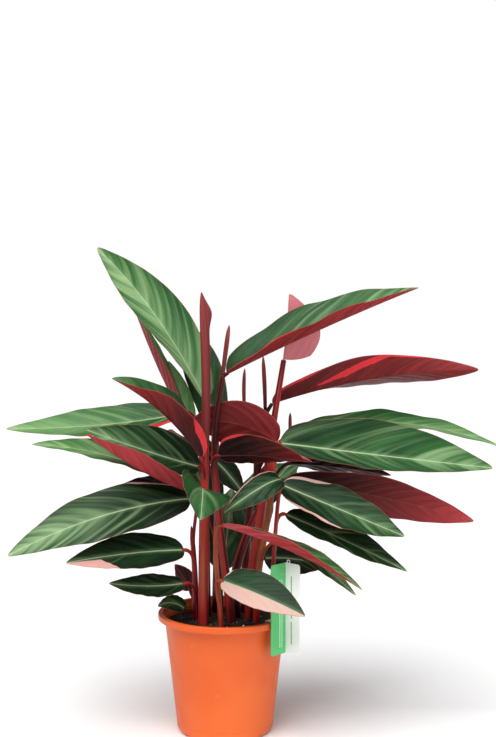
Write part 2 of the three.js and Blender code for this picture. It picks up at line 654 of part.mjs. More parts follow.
// The clip: a spring hook of white plastic over the pot's lip, which the card hangs on.
function clipGeometry() {
  const top = POT.height + CLEARANCE;
  const outline = new THREE.Shape([
    new THREE.Vector2(CLIP_INSIDE - CLIP.wall, POT.height - CLIP.insideDrop),
    new THREE.Vector2(CLIP_INSIDE, POT.height - CLIP.insideDrop),
    new THREE.Vector2(CLIP_INSIDE, top),
    new THREE.Vector2(CLIP_OUTSIDE - CLIP.wall, top),
    new THREE.Vector2(CLIP_OUTSIDE - CLIP.wall, POT.height - CLIP.outsideDrop),
    new THREE.Vector2(CLIP_OUTSIDE, POT.height - CLIP.outsideDrop),
    new THREE.Vector2(CLIP_OUTSIDE, top + CLIP.wall),
    new THREE.Vector2(CLIP_INSIDE - CLIP.wall, top + CLIP.wall),
  ]);
  const geometry = new THREE.ExtrudeGeometry(outline, { depth: CLIP.width, bevelEnabled: false });
  geometry.translate(0, 0, -CLIP.width / 2);
  geometry.rotateX(Math.PI / 2);
  geometry.rotateZ(radians(LABEL.azimuth));
  return geometry;
}

// ---------------------------------------------------------------- assembly

const plant = new THREE.Group();

function piece(name, geometry, colour, roughness) {
  const material = new THREE.MeshStandardMaterial({ color: colour, roughness, metalness: 0 });
  const mesh = new THREE.Mesh(geometry, material);
  mesh.name = name;
  plant.add(mesh);
}

piece("pot", potGeometry(), COLOUR.pot, 0.45);
piece("soil", soilGeometry(), COLOUR.soil, 0.95);
piece("label_card", labelGeometry(), COLOUR.green, 0.5);
piece("label_clip", clipGeometry(), COLOUR.clip, 0.4);
for (const shoot of SHOOTS) {
  piece(shoot.name, shootGeometry(shoot), COLOUR.stem, 0.5);
  for (const spear of shoot.spears) piece(spear.name, spearGeometry(spear), COLOUR.spear, 0.45);
  for (const leaf of shoot.leaves) piece(leaf.name, bladeGeometry(leaf), COLOUR.leaf, 0.4);
}

export default plant;
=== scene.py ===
# %% [markdown]
# # A stromanthe triostar in its nursery pot
#
# The real plant is a clump of leafy shoots in a 17 cm pot: stems of wrapped leaf sheaths, thin stalks,
# long blades that are green above and maroon below, and young leaves that stand up as rolled spears.
# Every blade follows the same rule with its own numbers, so one function of two parameters makes them
# all, and a table holds what differs. The solids in the frame come from the same rule, coarser, so the
# fine surfaces here stand where the solids do.

import math

import bpy
import numpy as np
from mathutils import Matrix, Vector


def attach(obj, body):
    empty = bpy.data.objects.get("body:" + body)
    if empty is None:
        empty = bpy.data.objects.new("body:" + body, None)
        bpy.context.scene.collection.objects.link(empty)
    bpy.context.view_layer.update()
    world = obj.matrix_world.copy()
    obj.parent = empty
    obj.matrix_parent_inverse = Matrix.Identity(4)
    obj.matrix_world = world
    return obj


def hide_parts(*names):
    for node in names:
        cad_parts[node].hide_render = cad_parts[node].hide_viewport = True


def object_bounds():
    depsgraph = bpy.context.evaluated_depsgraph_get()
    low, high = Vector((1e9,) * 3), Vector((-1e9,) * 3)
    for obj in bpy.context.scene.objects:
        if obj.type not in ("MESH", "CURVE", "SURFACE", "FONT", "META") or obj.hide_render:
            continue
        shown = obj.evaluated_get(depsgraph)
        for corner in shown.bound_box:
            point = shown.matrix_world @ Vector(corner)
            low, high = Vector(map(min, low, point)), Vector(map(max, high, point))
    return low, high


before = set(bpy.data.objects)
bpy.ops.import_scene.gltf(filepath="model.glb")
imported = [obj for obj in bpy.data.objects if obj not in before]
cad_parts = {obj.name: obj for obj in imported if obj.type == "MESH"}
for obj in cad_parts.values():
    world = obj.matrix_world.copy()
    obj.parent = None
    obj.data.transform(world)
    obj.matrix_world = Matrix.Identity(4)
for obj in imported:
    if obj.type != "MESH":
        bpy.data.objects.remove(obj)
cad_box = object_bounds()
MM = 0.001
print("solids:", len(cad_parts), "box:", [round(v, 4) for v in cad_box[1] - cad_box[0]])

# %% [markdown]
# ## One place for colours and for nodes
#
# A designer picks colours as sRGB hex values, but the shader adds light in linear values, so one
# function turns the first into the second. Materials are built from nodes by one small function, which
# takes the node's kind, its settings, and for each input either a value or another node's output.

# %% Colours and nodes
def linear(hex_colour):
    """sRGB to linear: c / 12.92 up to 0.04045, and ((c + 0.055) / 1.055) to the power 2.4 above it."""
    channels = np.array([int(hex_colour[k:k + 2], 16) for k in (1, 3, 5)]) / 255
    toe = channels / 12.92
    curve = ((channels + 0.055) / 1.055) ** 2.4
    return (*np.where(channels <= 0.04045, toe, curve).tolist(), 1.0)


def fill(material, node, inputs):
    """Gives each input named another node's output, a value, or a colour written as hex."""
    for socket, value in inputs.items():
        if isinstance(value, bpy.types.NodeSocket):
            material.node_tree.links.new(value, node.inputs[socket])
        else:
            node.inputs[socket].default_value = linear(value) if isinstance(value, str) else value


def add(material, kind, inputs=None, out=0, stops=(), **settings):
    """Adds one node with its settings and links and gives the output asked for. stops are a ramp's."""
    node = material.node_tree.nodes.new("ShaderNode" + kind)
    for name, value in settings.items():
        setattr(node, name, value)
    fill(material, node, inputs or {})
    for place, (position, colour) in enumerate(stops):
        elements = node.color_ramp.elements
        element = elements[place] if place < len(elements) else elements.new(position)
        element.position = position
        element.color = linear(colour)
    return node.outputs[out]


def new_material(name):
    """A material with only its Principled shader and its output."""
    material = bpy.data.materials.new(name)
    material.use_nodes = True
    return material, material.node_tree.nodes["Principled BSDF"]


def layers(material, ground, coats):
    """Colours laid over a ground one after another, each by its share."""
    for share, colour in coats:
        ground = add(material, "Mix", {0: share, 6: ground, 7: colour}, 2, data_type="RGBA")
    return ground


SMOOTH = dict(interpolation_type="SMOOTHSTEP")  # for a MapRange: from 1..2 to 3..4 with soft ends

# %% [markdown]
# ## Meshes from arrays
#
# A blade, a stem and a pot are all rings of points, one ring after another, with faces between them.
# Only how the rings close differs: a ring round an axis can end in a point, and a flat one like a
# blade's ends in a strip. One function writes any of them into a mesh, with its per-point values.

# %% Mesh helpers
def ring_faces(rings, size, first=0):
    """Faces between rings of the same size: a, its neighbour b, b one ring on, a one ring on."""
    start = first + size * np.arange(rings - 1)[:, None]
    here = np.arange(size)[None, :]
    after = (here + 1) % size
    quads = np.stack([start + here, start + after, start + size + after, start + size + here], -1)
    return quads.reshape(-1, 4)


def piece_from(name, points, faces, materials, smooth=True, values=None, picks=None):
    """A piece from points in millimetres and faces; values holds per-point numbers or vectors."""
    mesh = bpy.data.meshes.new(name)
    mesh.from_pydata((points * MM).tolist(), [], [f.tolist() for f in faces])
    for material in materials:
        mesh.materials.append(material)
    mesh.polygons.foreach_set("use_smooth", np.full(len(mesh.polygons), smooth))
    if picks is not None:
        mesh.polygons.foreach_set("material_index", np.asarray(picks, dtype=np.int32))
    for key, value in (values or {}).items():
        kind = "FLOAT" if value.ndim == 1 else "FLOAT_VECTOR"
        attribute = mesh.attributes.new(key, kind, "POINT")
        field = "value" if value.ndim == 1 else "vector"
        attribute.data.foreach_set(field, value.astype(np.float32).ravel())
    mesh.update()
    thing = bpy.data.objects.new(name, mesh)
    bpy.context.scene.collection.objects.link(thing)
    return thing


def stand_for(thing, node):
    """The piece rides on the plant's one body and stands in for its solid, which it hides."""
    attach(thing, "root")
    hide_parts(node)


def unit(vectors):
    """Each vector over its own length."""
    return vectors / np.linalg.norm(vectors, axis=-1, keepdims=True)


# %% [markdown]
# ## The table of shoots
#
# axis: points up the stem. radius: at the soil and at the top. Each leaf has the base, middle and tip
# of its midrib, the greatest width of its left and right half, where its upper side looks at the base
# and at the tip, how far each half is folded up and how much it curls on, and its waves. parts is the
# height at which its stalk leaves the stem, or 0 where the blade stands on the stem's own top.

# %% Shoots, spears and leaves
SHOOTS = {
    "shoot_front_left": {
        "axis": [(-26, -28), (-26, -29, 250), (-24, -28, 366)], "radius": (7, 5),
        "spears": {
            "spear_tall": dict(base=(-24, -28, 367), middle=(-23.5, -27, 471), tip=(-28.5, -26, 555),
                               radius=6),
        },
        "leaves": {
            "leaf_05": dict(parts=300, base=(-29, -42.5, 350), middle=(-73, -66, 407), tip=(-131, -100, 451),
                            halves=(25, 30), face=((-2, 5, 9), (3, -2, 8)), fold=(38, 86), curl=(14, 8),
                            wave=(2, 2)),
            "leaf_08": dict(parts=255, base=(-43, -38, 309), middle=(-100, -64, 338), tip=(-162, -98, 385),
                            halves=(22, 21), face=((0, 0, 1), (0, 1, 6)), fold=(46, 54), curl=(14, 10),
                            wave=(1, 2)),
            "leaf_16": dict(parts=262, base=(-27, -45, 313), middle=(-25, -84, 312), tip=(-26, -120, 287),
                            halves=(34, 34), face=((4, -3, 8), (2, -6, 7)), fold=(4, 22), curl=(6, 14),
                            wave=(1, 1)),
        },
    },
    "shoot_front": {
        "axis": [(-4, -50), (-8, -53, 200), (-11, -58, 252)], "radius": (3.8, 2.6),
        "spears": {},
        "leaves": {
            "leaf_30": dict(parts=235, base=(-2, -66, 271), middle=(87, -85, 241), tip=(164, -104, 201),
                            halves=(25, 15), face=((0, 1, 9), (1, -3, 9)), fold=(12, 60), curl=(8, 6),
                            wave=(1, 2)),
            "leaf_32": dict(parts=152, base=(-2, -70, 204), middle=(45, -95, 192), tip=(96, -117, 173),
                            halves=(27, 18), face=((0, -8, 6), (1, -8, 6)), fold=(4, 4), curl=(6, 6),
                            wave=(1, 1)),
        },
    },
    "shoot_mid": {
        "axis": [(8, -16), (-6, -16, 260), (-13, -14, 372), (-2, -15, 452)], "radius": (6.4, 3),
        "spears": {
            "spear_front": dict(base=(-2, -15, 453), middle=(2, -16, 484), tip=(6, -16, 514), radius=2.7),
        },
        "leaves": {
            "leaf_20": dict(parts=405, base=(3, -7, 453), middle=(122, -16, 510), tip=(239, -40, 560),
                            halves=(40, 19), face=((-4, -1, 9), (-3, 1, 9)), fold=(56, 40), curl=(12, 10),
                            wave=(2, 3)),
            "leaf_17": dict(parts=300, base=(-7, -34, 352), middle=(46, -50, 354), tip=(107, -62, 348),
                            halves=(17, 30), face=((0, 9, 3), (0, 4, 9)), fold=(8, 8), curl=(12, 12),
                            wave=(1, 1)),
        },
    },
    "shoot_tall": {
        "axis": [(31, -5), (35, -5, 205), (44, -5, 262), (52, -5, 318), (62, 2, 392), (75, 20, 469)],
        "radius": (6.8, 3.4),
        "spears": {},
        "leaves": {
            "leaf_22": dict(parts=0, base=(75.5, 20.5, 470), middle=(80, 24, 511), tip=(83, 25, 554),
                            halves=(42, 13), face=((1, 9, 0), (1, 9, 0)), fold=(2, 60), curl=(8, 170),
                            wave=(0, 1)),
            "leaf_18": dict(parts=320, base=(66, -9.5, 367), middle=(14, -6, 390), tip=(-44, 1, 391),
                            halves=(29, 33), face=((0, 9, 1), (0, 9, 1)), fold=(3, 3), curl=(6, 6),
                            wave=(2, 1)),
        },
    },
    "shoot_right": {
        "axis": [(40, -16), (43, -16, 205), (57, -18, 290), (62, -20, 345)], "radius": (5.2, 3.4),
        "spears": {},
        "leaves": {
            "leaf_24": dict(parts=310, base=(69, -22, 367), middle=(199, -34, 352), tip=(329, -50, 339),
                            halves=(43, 26), face=((0, -9, 4), (0, -9, 4)), fold=(10, 30), curl=(6, 10),
                            wave=(2, 3)),
            "leaf_28": dict(parts=262, base=(71, -24, 315), middle=(148, -46, 285), tip=(219, -66, 258),
                            halves=(28, 28), face=((1, -7, 6), (1, -7, 6)), fold=(8, 8), curl=(8, 8),
                            wave=(2, 3)),
            "leaf_23": dict(parts=205, base=(74, -50, 247), middle=(113, -66, 226), tip=(158, -88, 191),
                            halves=(11, 8), face=((0, -4, 7), (0, -7, 7)), fold=(4, 4), curl=(8, 8),
                            wave=(1, 1)),
        },
    },
    "shoot_inner_right": {
        "axis": [(13, 8), (14.5, 11, 200), (42, 14, 275), (60, 12, 298)], "radius": (8.4, 3.4),
        "spears": {},
        "leaves": {
            "leaf_27": dict(parts=250, base=(79, 6, 316), middle=(204, 6, 294), tip=(315, -6, 266),
                            halves=(36, 27), face=((0, 8, 5), (0, 8, 4)), fold=(6, 6), curl=(8, 8),
                            wave=(2, 2)),
            "leaf_26": dict(parts=230, base=(84, 24, 336), middle=(147, 26, 331), tip=(214, 26, 320),
                            halves=(20, 20), face=((0, 6, 8), (0, 6, 8)), fold=(8, 8), curl=(8, 8),
                            wave=(2, 2)),
        },
    },
    "shoot_thin": {
        "axis": [(58, -31), (60, -33, 200), (66, -36, 290), (70, -39.2, 322.6)], "radius": (3.4, 2.3),
        "spears": {},
        "leaves": {
            "leaf_33": dict(parts=0, base=(70, -40, 323.6), middle=(45, -49, 315), tip=(0, -51, 284),
                            halves=(20, 17), face=((-1, -5, 6), (0, -8, 5)), fold=(4, 4), curl=(6, 6),
                            wave=(1, 1)),
            "leaf_29": dict(parts=215, base=(77, -22, 277), middle=(150, -32, 246), tip=(225, -47, 211),
                            halves=(23, 20), face=((0, -5, 8), (1, -5, 8)), fold=(12, 8), curl=(8, 8),
                            wave=(2, 2)),
        },
    },
    "shoot_back_left": {
        "axis": [(-24, 10), (-25, 12, 260), (-26, 14, 400), (-26, 14, 418)], "radius": (6.6, 3.2),
        "spears": {},
        "leaves": {
            "leaf_01": dict(parts=0, base=(-26.5, 14.5, 419), middle=(-90, 48, 524), tip=(-171, 80, 617),
                            halves=(31, 37), face=((7, -9, 5), (-3, -9, -1)), fold=(44, 8), curl=(8, 10),
                            wave=(1, 2)),
            "leaf_06": dict(parts=330, base=(-52, 25, 401), middle=(-157, 20, 386), tip=(-279, 8, 382),
                            halves=(31, 29), face=((0, -5, 8), (0, -5, 8)), fold=(10, 16), curl=(8, 8),
                            wave=(1, 3)),
            "leaf_07": dict(parts=280, base=(-33, -3, 335), middle=(-92, -28, 356), tip=(-167, -55, 386),
                            halves=(24, 34), face=((0, -8, 6), (0, -8, 6)), fold=(6, 6), curl=(8, 14),
                            wave=(1, 2)),
            "leaf_09": dict(parts=255, base=(-55, 0, 315), middle=(-149, -18, 351), tip=(-237, -40, 367),
                            halves=(24, 24), face=((0, -4, 9), (0, -4, 9)), fold=(12, 12), curl=(8, 8),
                            wave=(1, 3)),
            "leaf_10": dict(parts=235, base=(-42, 8, 290), middle=(-90, 12, 309), tip=(-146, 14, 300),
                            halves=(20, 20), face=((0, -3, 9), (0, -3, 9)), fold=(10, 10), curl=(8, 8),
                            wave=(1, 1)),
        },
    },
    "shoot_back": {
        "axis": [(-10, 38), (-10, 38, 260), (-12, 36, 370)], "radius": (8.4, 3.2),
        "spears": {},
        "leaves": {
            "leaf_02": dict(parts=0, base=(-12, 36.3, 371), middle=(-36, 72, 460), tip=(-74, 108, 530),
                            halves=(23, 27), face=((1, -8, 5), (1, -8, 4)), fold=(8, 8), curl=(8, 8),
                            wave=(1, 2)),
            "leaf_03": dict(parts=300, base=(-50, 54, 383), middle=(-88, 80, 452), tip=(-126, 102, 541),
                            halves=(20, 22), face=((7, -2, 4), (7, -2, 4)), fold=(50, 24), curl=(10, 10),
                            wave=(1, 1)),
            "leaf_04": dict(parts=320, base=(-44, 42, 388), middle=(-60, 48, 427), tip=(-75, 54, 467),
                            halves=(12, 12), face=((4, -6, 3), (4, -6, 3)), fold=(36, 36), curl=(30, 30),
                            wave=(0, 1)),
            "leaf_19": dict(parts=280, base=(-12, 26, 338), middle=(5, 22, 321), tip=(24, 22, 296),
                            halves=(15, 15), face=((3, -8, 3), (3, -8, 3)), fold=(4, 4), curl=(6, 6),
                            wave=(1, 1)),
            "leaf_back_1": dict(parts=260, base=(-24, 62, 330), middle=(-60, 112, 360), tip=(-105, 165, 332),
                                halves=(29, 29), face=((1, 3, 9), (-1, 3, 9)), fold=(10, 10), curl=(8, 8),
                                wave=(2, 3)),
            "leaf_back_5": dict(parts=165, base=(-4, 56, 190), middle=(2, 98, 240), tip=(6, 142, 286),
                                halves=(28, 28), face=((0, 0, 1), (0, 3, 9)), fold=(10, 10), curl=(8, 8),
                                wave=(1, 2)),
            "leaf_back_4": dict(parts=200, base=(-22, 60, 262), middle=(-36, 106, 302), tip=(-52, 152, 334),
                                halves=(28, 28), face=((0, 0, 1), (0, 3, 9)), fold=(10, 10), curl=(8, 8),
                                wave=(2, 2)),
        },
    },
    "shoot_left_low": {
        "axis": [(-37, -9), (-38, -10, 200), (-42, -18, 262)], "radius": (4.8, 2.8),
        "spears": {},
        "leaves": {
            "leaf_11": dict(parts=230, base=(-43, -28, 298), middle=(-151, -62, 281), tip=(-256, -96, 240),
                            halves=(36, 34), face=((-1, -8, 6), (-1, -7, 6)), fold=(6, 6), curl=(6, 6),
                            wave=(2, 3)),
            "leaf_12": dict(parts=165, base=(-50, -40, 236), middle=(-116, -68, 237), tip=(-187, -94, 231),
                            halves=(24, 27), face=((0, -7, 7), (0, -7, 7)), fold=(4, 4), curl=(6, 6),
                            wave=(1, 2)),
            "leaf_13": dict(parts=150, base=(-50, -38, 194), middle=(-92, -58, 195), tip=(-138, -78, 203),
                            halves=(16, 16), face=((0, -7, 7), (0, -7, 7)), fold=(4, 4), curl=(6, 6),
                            wave=(1, 2)),
            "leaf_14": dict(parts=150, base=(-44, -3, 177), middle=(-52, 0, 193), tip=(-64, 3, 209),
                            halves=(12, 12), face=((2, 9, 2), (2, 9, 2)), fold=(4, 4), curl=(6, 6),
                            wave=(0, 1)),
            "leaf_15": dict(parts=147, base=(-50, -17, 156), middle=(-66, -20, 165), tip=(-84, -20, 161),
                            halves=(11, 11), face=((0, -6, 7), (0, -6, 7)), fold=(4, 4), curl=(6, 6),
                            wave=(0, 1)),
        },
    },
    "shoot_back_right": {
        "axis": [(27, 36), (30, 38, 260), (46, 38, 350), (52, 37, 396), (60.3, 36, 412.2)],
        "radius": (7.4, 2.4),
        "spears": {
            "spear_back_right": dict(parts=350, base=(52, 46, 406), middle=(51, 46, 440), tip=(49, 44, 474),
                                     radius=2.5),
            "spear_back_mid": dict(parts=300, base=(25, 88, 398), middle=(24, 90, 426), tip=(25, 90, 456),
                                   radius=2.3),
            "spear_small": dict(parts=300, base=(84, 30, 368), middle=(84, 30, 384), tip=(84, 30, 401),
                                radius=2),
        },
        "leaves": {
            "leaf_21": dict(parts=0, base=(61, 36, 413), middle=(194, 32, 446), tip=(325, 20, 457),
                            halves=(40, 28), face=((0, 4, 8), (-1, 9, 2)), fold=(34, 40), curl=(10, 10),
                            wave=(2, 2)),
            "leaf_25": dict(parts=310, base=(98, 38, 378), middle=(228, 46, 386), tip=(358, 38, 356),
                            halves=(26, 30), face=((0, -3, 9), (0, -3, 9)), fold=(10, 10), curl=(8, 8),
                            wave=(2, 3)),
            "leaf_31": dict(parts=160, base=(50, 26, 212), middle=(90, 26, 211), tip=(133, 22, 202),
                            halves=(27, 27), face=((0, -6, 7), (0, -6, 7)), fold=(4, 4), curl=(6, 6),
                            wave=(1, 1)),
            "leaf_back_2": dict(parts=220, base=(44, 62, 270), middle=(70, 114, 304), tip=(96, 168, 322),
                                halves=(28, 28), face=((0, 0, 1), (1, 3, 9)), fold=(10, 10), curl=(8, 8),
                                wave=(2, 3)),
            "leaf_back_3": dict(parts=180, base=(32, 60, 226), middle=(38, 102, 272), tip=(44, 148, 312),
                                halves=(28, 28), face=((0, 0, 1), (0, 3, 9)), fold=(10, 10), curl=(8, 8),
                                wave=(2, 2)),
        },
    },
}
leaf_count = sum(len(shoot["leaves"]) for shoot in SHOOTS.values())
print("shoots:", len(SHOOTS), "leaves:", leaf_count)

# %% [markdown]
# ## How light, feathered, cream or pink each leaf is
#
# A triostar's upper side goes from nearly black-green to fresh green, and carries grey-green feathers
# along its veins; the darkest greens and maroons, at the blades' bases and on leaves inside the clump,
# are partly painted shade. Some leaves have cream or pink sectors that end raggedly along a vein, and
# where a margin rolls over, the bright red of the underside shows.
#
# ground: how light the green is at the base and at the tip. pale: how much feather shows there. under:
# how light the maroon is. Low ground and under values, at a blade's base and on blades inside the clump,
# are partly painted shade. left: extra feather on the left half, which on leaf_01 is partly painted light
# on the half that faces the lamp. A sector is: side (-1 left, 1 right, 0 both), from and to along the
# blade, from and to across it, and its hue, from 0 cream over 0.5 pink to 1 red; a seventh number slants
# it across the blade. One short row per leaf, as one notes it down.

# %% Tones and sectors
# Painted shade: ground and under start lower at the base than at the tip, and blades deep in the clump are
# low throughout.
PLAIN = dict(ground=(0.22, 0.5), pale=(0.15, 0.6), under=(0.3, 0.4), left=0, sectors=[])
TONES = {
    # leaf_01's extra left feather is partly painted light on the half that faces the lamp.
    "leaf_01": dict(ground=(0.44, 0.6), pale=(0.5, 0.64), left=0.36),
    "leaf_02": dict(ground=(0.34, 0.4), pale=(0.1, 0.3)),
    "leaf_03": dict(ground=(0.75, 0.8), pale=(0.3, 0.4), under=(0.4, 0.5)),
    "leaf_04": dict(ground=(0.8, 0.8), pale=(0.1, 0.1), sectors=[(-1, 0.1, 0.9, 0.8, 1.0, 1.0)]),
    "leaf_05": dict(ground=(0.3, 0.62), pale=(0.3, 0.6), under=(0.0, 0.56),
                    sectors=[(-1, 0.0, 0.34, 0.6, 1.0, 1.0)]),
    "leaf_06": dict(ground=(0.22, 0.9), pale=(0.2, 0.7), sectors=[(-1, 0.0, 0.66, 0.64, 1.0, 1.0)]),
    "leaf_07": dict(ground=(0.06, 0.4), pale=(0.1, 0.7)),
    "leaf_08": dict(ground=(0.4, 0.5), under=(0.42, 0.62)),
    "leaf_09": dict(ground=(0.4, 0.72), pale=(0.3, 0.75), sectors=[(-1, 0.2, 0.5, 0.84, 1.0, 1.0)]),
    "leaf_10": dict(ground=(0.02, 0.06), pale=(0.0, 0.1), under=(0.05, 0.1)),
    "leaf_11": dict(ground=(0.0, 0.46), pale=(0.1, 0.95), sectors=[(1, 0.0, 0.42, 0.93, 1.0, 0.4)]),
    "leaf_12": dict(ground=(0.1, 0.16), pale=(0.0, 0.1), sectors=[(-1, 0.6, 1.0, 0.2, 1.0, 0.45)]),
    "leaf_13": dict(ground=(0.14, 0.18), pale=(0.0, 0.1)),
    "leaf_14": dict(ground=(0.1, 0.1), under=(0.12, 0.12)),
    "leaf_15": dict(ground=(0.25, 0.3), pale=(0.1, 0.2)),
    "leaf_16": dict(ground=(0.34, 0.44), pale=(0.1, 0.3), sectors=[(0, 0.2, 1.0, 0.97, 1.0, 0.1)]),
    "leaf_17": dict(ground=(0.4, 0.5), under=(-0.2, 0.4),
                    sectors=[(0, 0.88, 1.0, 0.6, 1.0, 0.1), (1, 0.0, 0.4, 0.88, 1.0, 1.0)]),
    "leaf_18": dict(under=(0.36, 0.26)),
    "leaf_19": dict(ground=(0.04, 0.1), pale=(0.0, 0.2)),
    "leaf_20": dict(ground=(0.3, 0.62), pale=(0.1, 0.7), under=(0.34, 0.5),
                    sectors=[(1, 0.0, 0.5, 0.9, 1.0, 1.0)]),
    "leaf_21": dict(ground=(-0.1, 0.0), pale=(-0.4, -0.4), under=(0.24, 0.4), sectors=[
        (1, 0.17, 0.7, -0.1, 0.16, 1.0, 2.2), (1, 0.5, 0.8, 0.9, 1.0, 1.0), (1, 0.0, 0.3, 0.84, 1.0, 0.9)]),
    "leaf_22": dict(under=(0.7, 0.66), sectors=[(0, 0.0, 1.0, 0.0, 1.0, 0.3)]),
    "leaf_23": dict(ground=(0.3, 0.5), pale=(0.2, 0.6)),
    "leaf_24": dict(ground=(0.22, 0.54), pale=(0.25, 0.6)),
    "leaf_25": dict(ground=(0.46, 0.76), pale=(0.4, 0.76)),
    "leaf_26": dict(ground=(-0.1, 0.0), pale=(-0.4, -0.4), under=(0.02, 0.08)),
    "leaf_27": dict(under=(-0.1, 0.66)),
    "leaf_28": dict(ground=(0.16, 0.34), pale=(0.05, 0.4),
                    sectors=[(-1, 0.0, 0.36, 0.82, 1.0, 0.3), (1, 0.04, 0.6, 0.86, 1.0, 0.35)]),
    "leaf_29": dict(ground=(0.08, 0.3), pale=(0.1, 0.4)),
    "leaf_30": dict(ground=(0.3, 0.5), pale=(0.15, 0.5), under=(0.66, 0.5),
                    sectors=[(0, 0.0, 1.0, 0.95, 1.0, 0.7)]),
    "leaf_31": dict(ground=(0.02, 0.1), pale=(0.0, 0.1)),
    "leaf_32": dict(ground=(0.2, 0.24), pale=(-0.2, -0.2),
                    sectors=[(1, 0.0, 1.0, 0.0, 1.0, 0.3), (-1, 0.0, 0.12, 0.78, 1.0, 0.2)]),
    "leaf_33": dict(ground=(0.18, 0.3), pale=(-0.1, 0.1), sectors=[(1, 0.0, 1.0, 0.92, 1.0, 0.5)]),
}
print("leaves with tones of their own:", len(TONES))

# %% [markdown]
# ## The blade as a function of two parameters
#
# A stromanthe blade is a thin skin on both sides of a midrib. It could be modelled once and bent by
# curves, but each one here folds, curls and waves in its own way, so its surface is computed: part
# runs from base to tip, across from -1 at the left margin to 1 at the right one. It is blunt at the
# stalk, fullest before its middle and drawn out to the tip.

# %% The blade's outline and midrib
STALK_HALF, TIP_HALF = 1.6, 0.35  # half widths in mm at the stalk and at the tip
SET_BACK, SET_BACK_MOST = 0.6, 0.4  # how far the round base's lobes lie back


def outline(part):
    """sin(pi part^0.88)^0.62 times (1 - 0.45 part^5): blunt, fullest before the middle, drawn out."""
    return np.clip(np.sin(np.pi * part ** 0.88), 0, 1) ** 0.62 * (1 - 0.45 * part ** 5)


def midrib(leaf, part):
    """The parabola through base, middle and tip, and its unit direction."""
    base, middle, tip = (np.array(leaf[key], float) for key in ("base", "middle", "tip"))
    s = part[..., None]
    point = base * (1 - s) * (1 - 2 * s) + middle * 4 * s * (1 - s) + tip * s * (2 * s - 1)
    direction = base * (4 * s - 3) + middle * (4 - 8 * s) + tip * (4 * s - 1)
    return point, unit(direction)


def by_side(leaf, key, across):
    """A leaf's number for the left or the right half."""
    return np.where(across < 0, leaf[key][0], leaf[key][1])


def half_width(leaf, part, across):
    """The half's greatest width times the outline, and a little more to meet the stalk and the tip."""
    return by_side(leaf, "halves", across) * outline(part) + STALK_HALF + (TIP_HALF - STALK_HALF) * part


# %% The blade's sheet, its normal and its base lobes
def blade_sheet(leaf, part, across):
    """Each half is an arc: it starts at its fold angle and turns by its curl on the way out.
    out = width (sin(fold + curl a) - sin fold) / curl, up = width (cos fold - cos(fold + curl a)) / curl,
    and a wave of across squared times a sine along the blade is added to up."""
    point, direction = midrib(leaf, part)
    first, last = (unit(np.array(face, float)) for face in leaf["face"])
    up = first + (last - first) * part[..., None]
    up = unit(up - direction * np.sum(up * direction, -1, keepdims=True))
    side = np.cross(direction, up)
    width = half_width(leaf, part, across)
    easing = width / (width + 3)
    fold = np.radians(by_side(leaf, "fold", across)) * easing
    curl = np.maximum(np.radians(by_side(leaf, "curl", across)) * easing, 1e-4)
    turned = fold + curl * np.abs(across)
    out = width * (np.sin(turned) - np.sin(fold)) / curl
    raised = width * (np.cos(fold) - np.cos(turned)) / curl
    height, waves = leaf["wave"]
    phase = 2 * np.pi * waves * part + np.where(across >= 0, 2, 0)
    wave = height * across ** 2 * np.sin(phase) * outline(part)
    return point + side * (np.sign(across) * out)[..., None] + up * (raised + wave)[..., None]


def blade_normal(leaf, part, across):
    """The sheet's upward direction, across its neighbours' differences."""
    step = 0.004
    along = blade_sheet(leaf, np.minimum(part + step, 1), across)
    along = along - blade_sheet(leaf, np.maximum(part - step, 0), across)
    sideways = blade_sheet(leaf, part, np.minimum(across + step, 1))
    sideways = sideways - blade_sheet(leaf, part, np.maximum(across - step, -1))
    return unit(np.cross(sideways, along))


def lobes(leaf, part, across):
    """How far the round base's margins lie back along the midrib, as a vector."""
    point, direction = midrib(leaf, part)
    reach = SET_BACK * by_side(leaf, "halves", across) * outline(part) * np.abs(across) * (1 - part) ** 6
    most = SET_BACK_MOST * np.linalg.norm(point - np.array(leaf["base"], float), axis=-1)
    return -direction * np.minimum(reach, most)[..., None]


# %% [markdown]
# ## Veins, sectors and thickness
#
# Veins leave the midrib at a slant and bend towards the tip; each lifts the skin a little, which
# catches the light. There is a groove over the midrib and a keel below it, and the margin thins out.
# The same numbers go with each point as attributes, so that the material lays its stripes along the
# veins and not across them.

# %% Where veins and sectors run
BLADE_ROWS, BLADE_COLUMNS = 112, 33
VEIN_PITCH = 3.4  # mm between lateral veins; finer on the plant, but drawn as coarse as it has to show


def vein_line(leaf, part, across):
    """Where on the midrib, in mm, the vein through a point began: s - (1.3 d + 0.9 d^2 / w), where s is
    the point's share of the straight length, d its distance from the midrib and w the half's width,
    taken as 4 mm where it is less."""
    length = np.linalg.norm(np.subtract(leaf["tip"], leaf["base"]))
    width = half_width(leaf, part, across)
    distance = np.abs(across) * width
    return part * length - (1.3 * distance + 0.9 * distance ** 2 / np.maximum(width, 4))


def sector_strength(sectors, part, across):
    """1 inside a sector and 0 outside, soft over a tenth; its ends taper unless at the base or tip."""
    total, hue = np.zeros_like(part), np.zeros_like(part)
    for side, first, last, inner, outer, colour, *slant in sectors:
        shift = (slant[0] if slant else 0) * (part - first)
        span = 0.35 * (last - first)
        rise = np.clip((part - first) / span, 0, 1) if first > 0 else 1
        fall = np.clip((last - part) / span, 0, 1) if last < 1 else 1
        near = inner + shift + (outer - inner) * (1 - np.minimum(rise, fall))
        out = np.abs(across)
        inside = np.clip((out - near) / 0.1 + 0.5, 0, 1) * np.clip((outer + shift - out) / 0.1 + 0.5, 0, 1)
        inside = inside * (part >= first) * (part <= last) * (side * across >= 0)
        hue = np.where(inside > total, colour, hue)
        total = np.maximum(total, inside)
    return total, hue


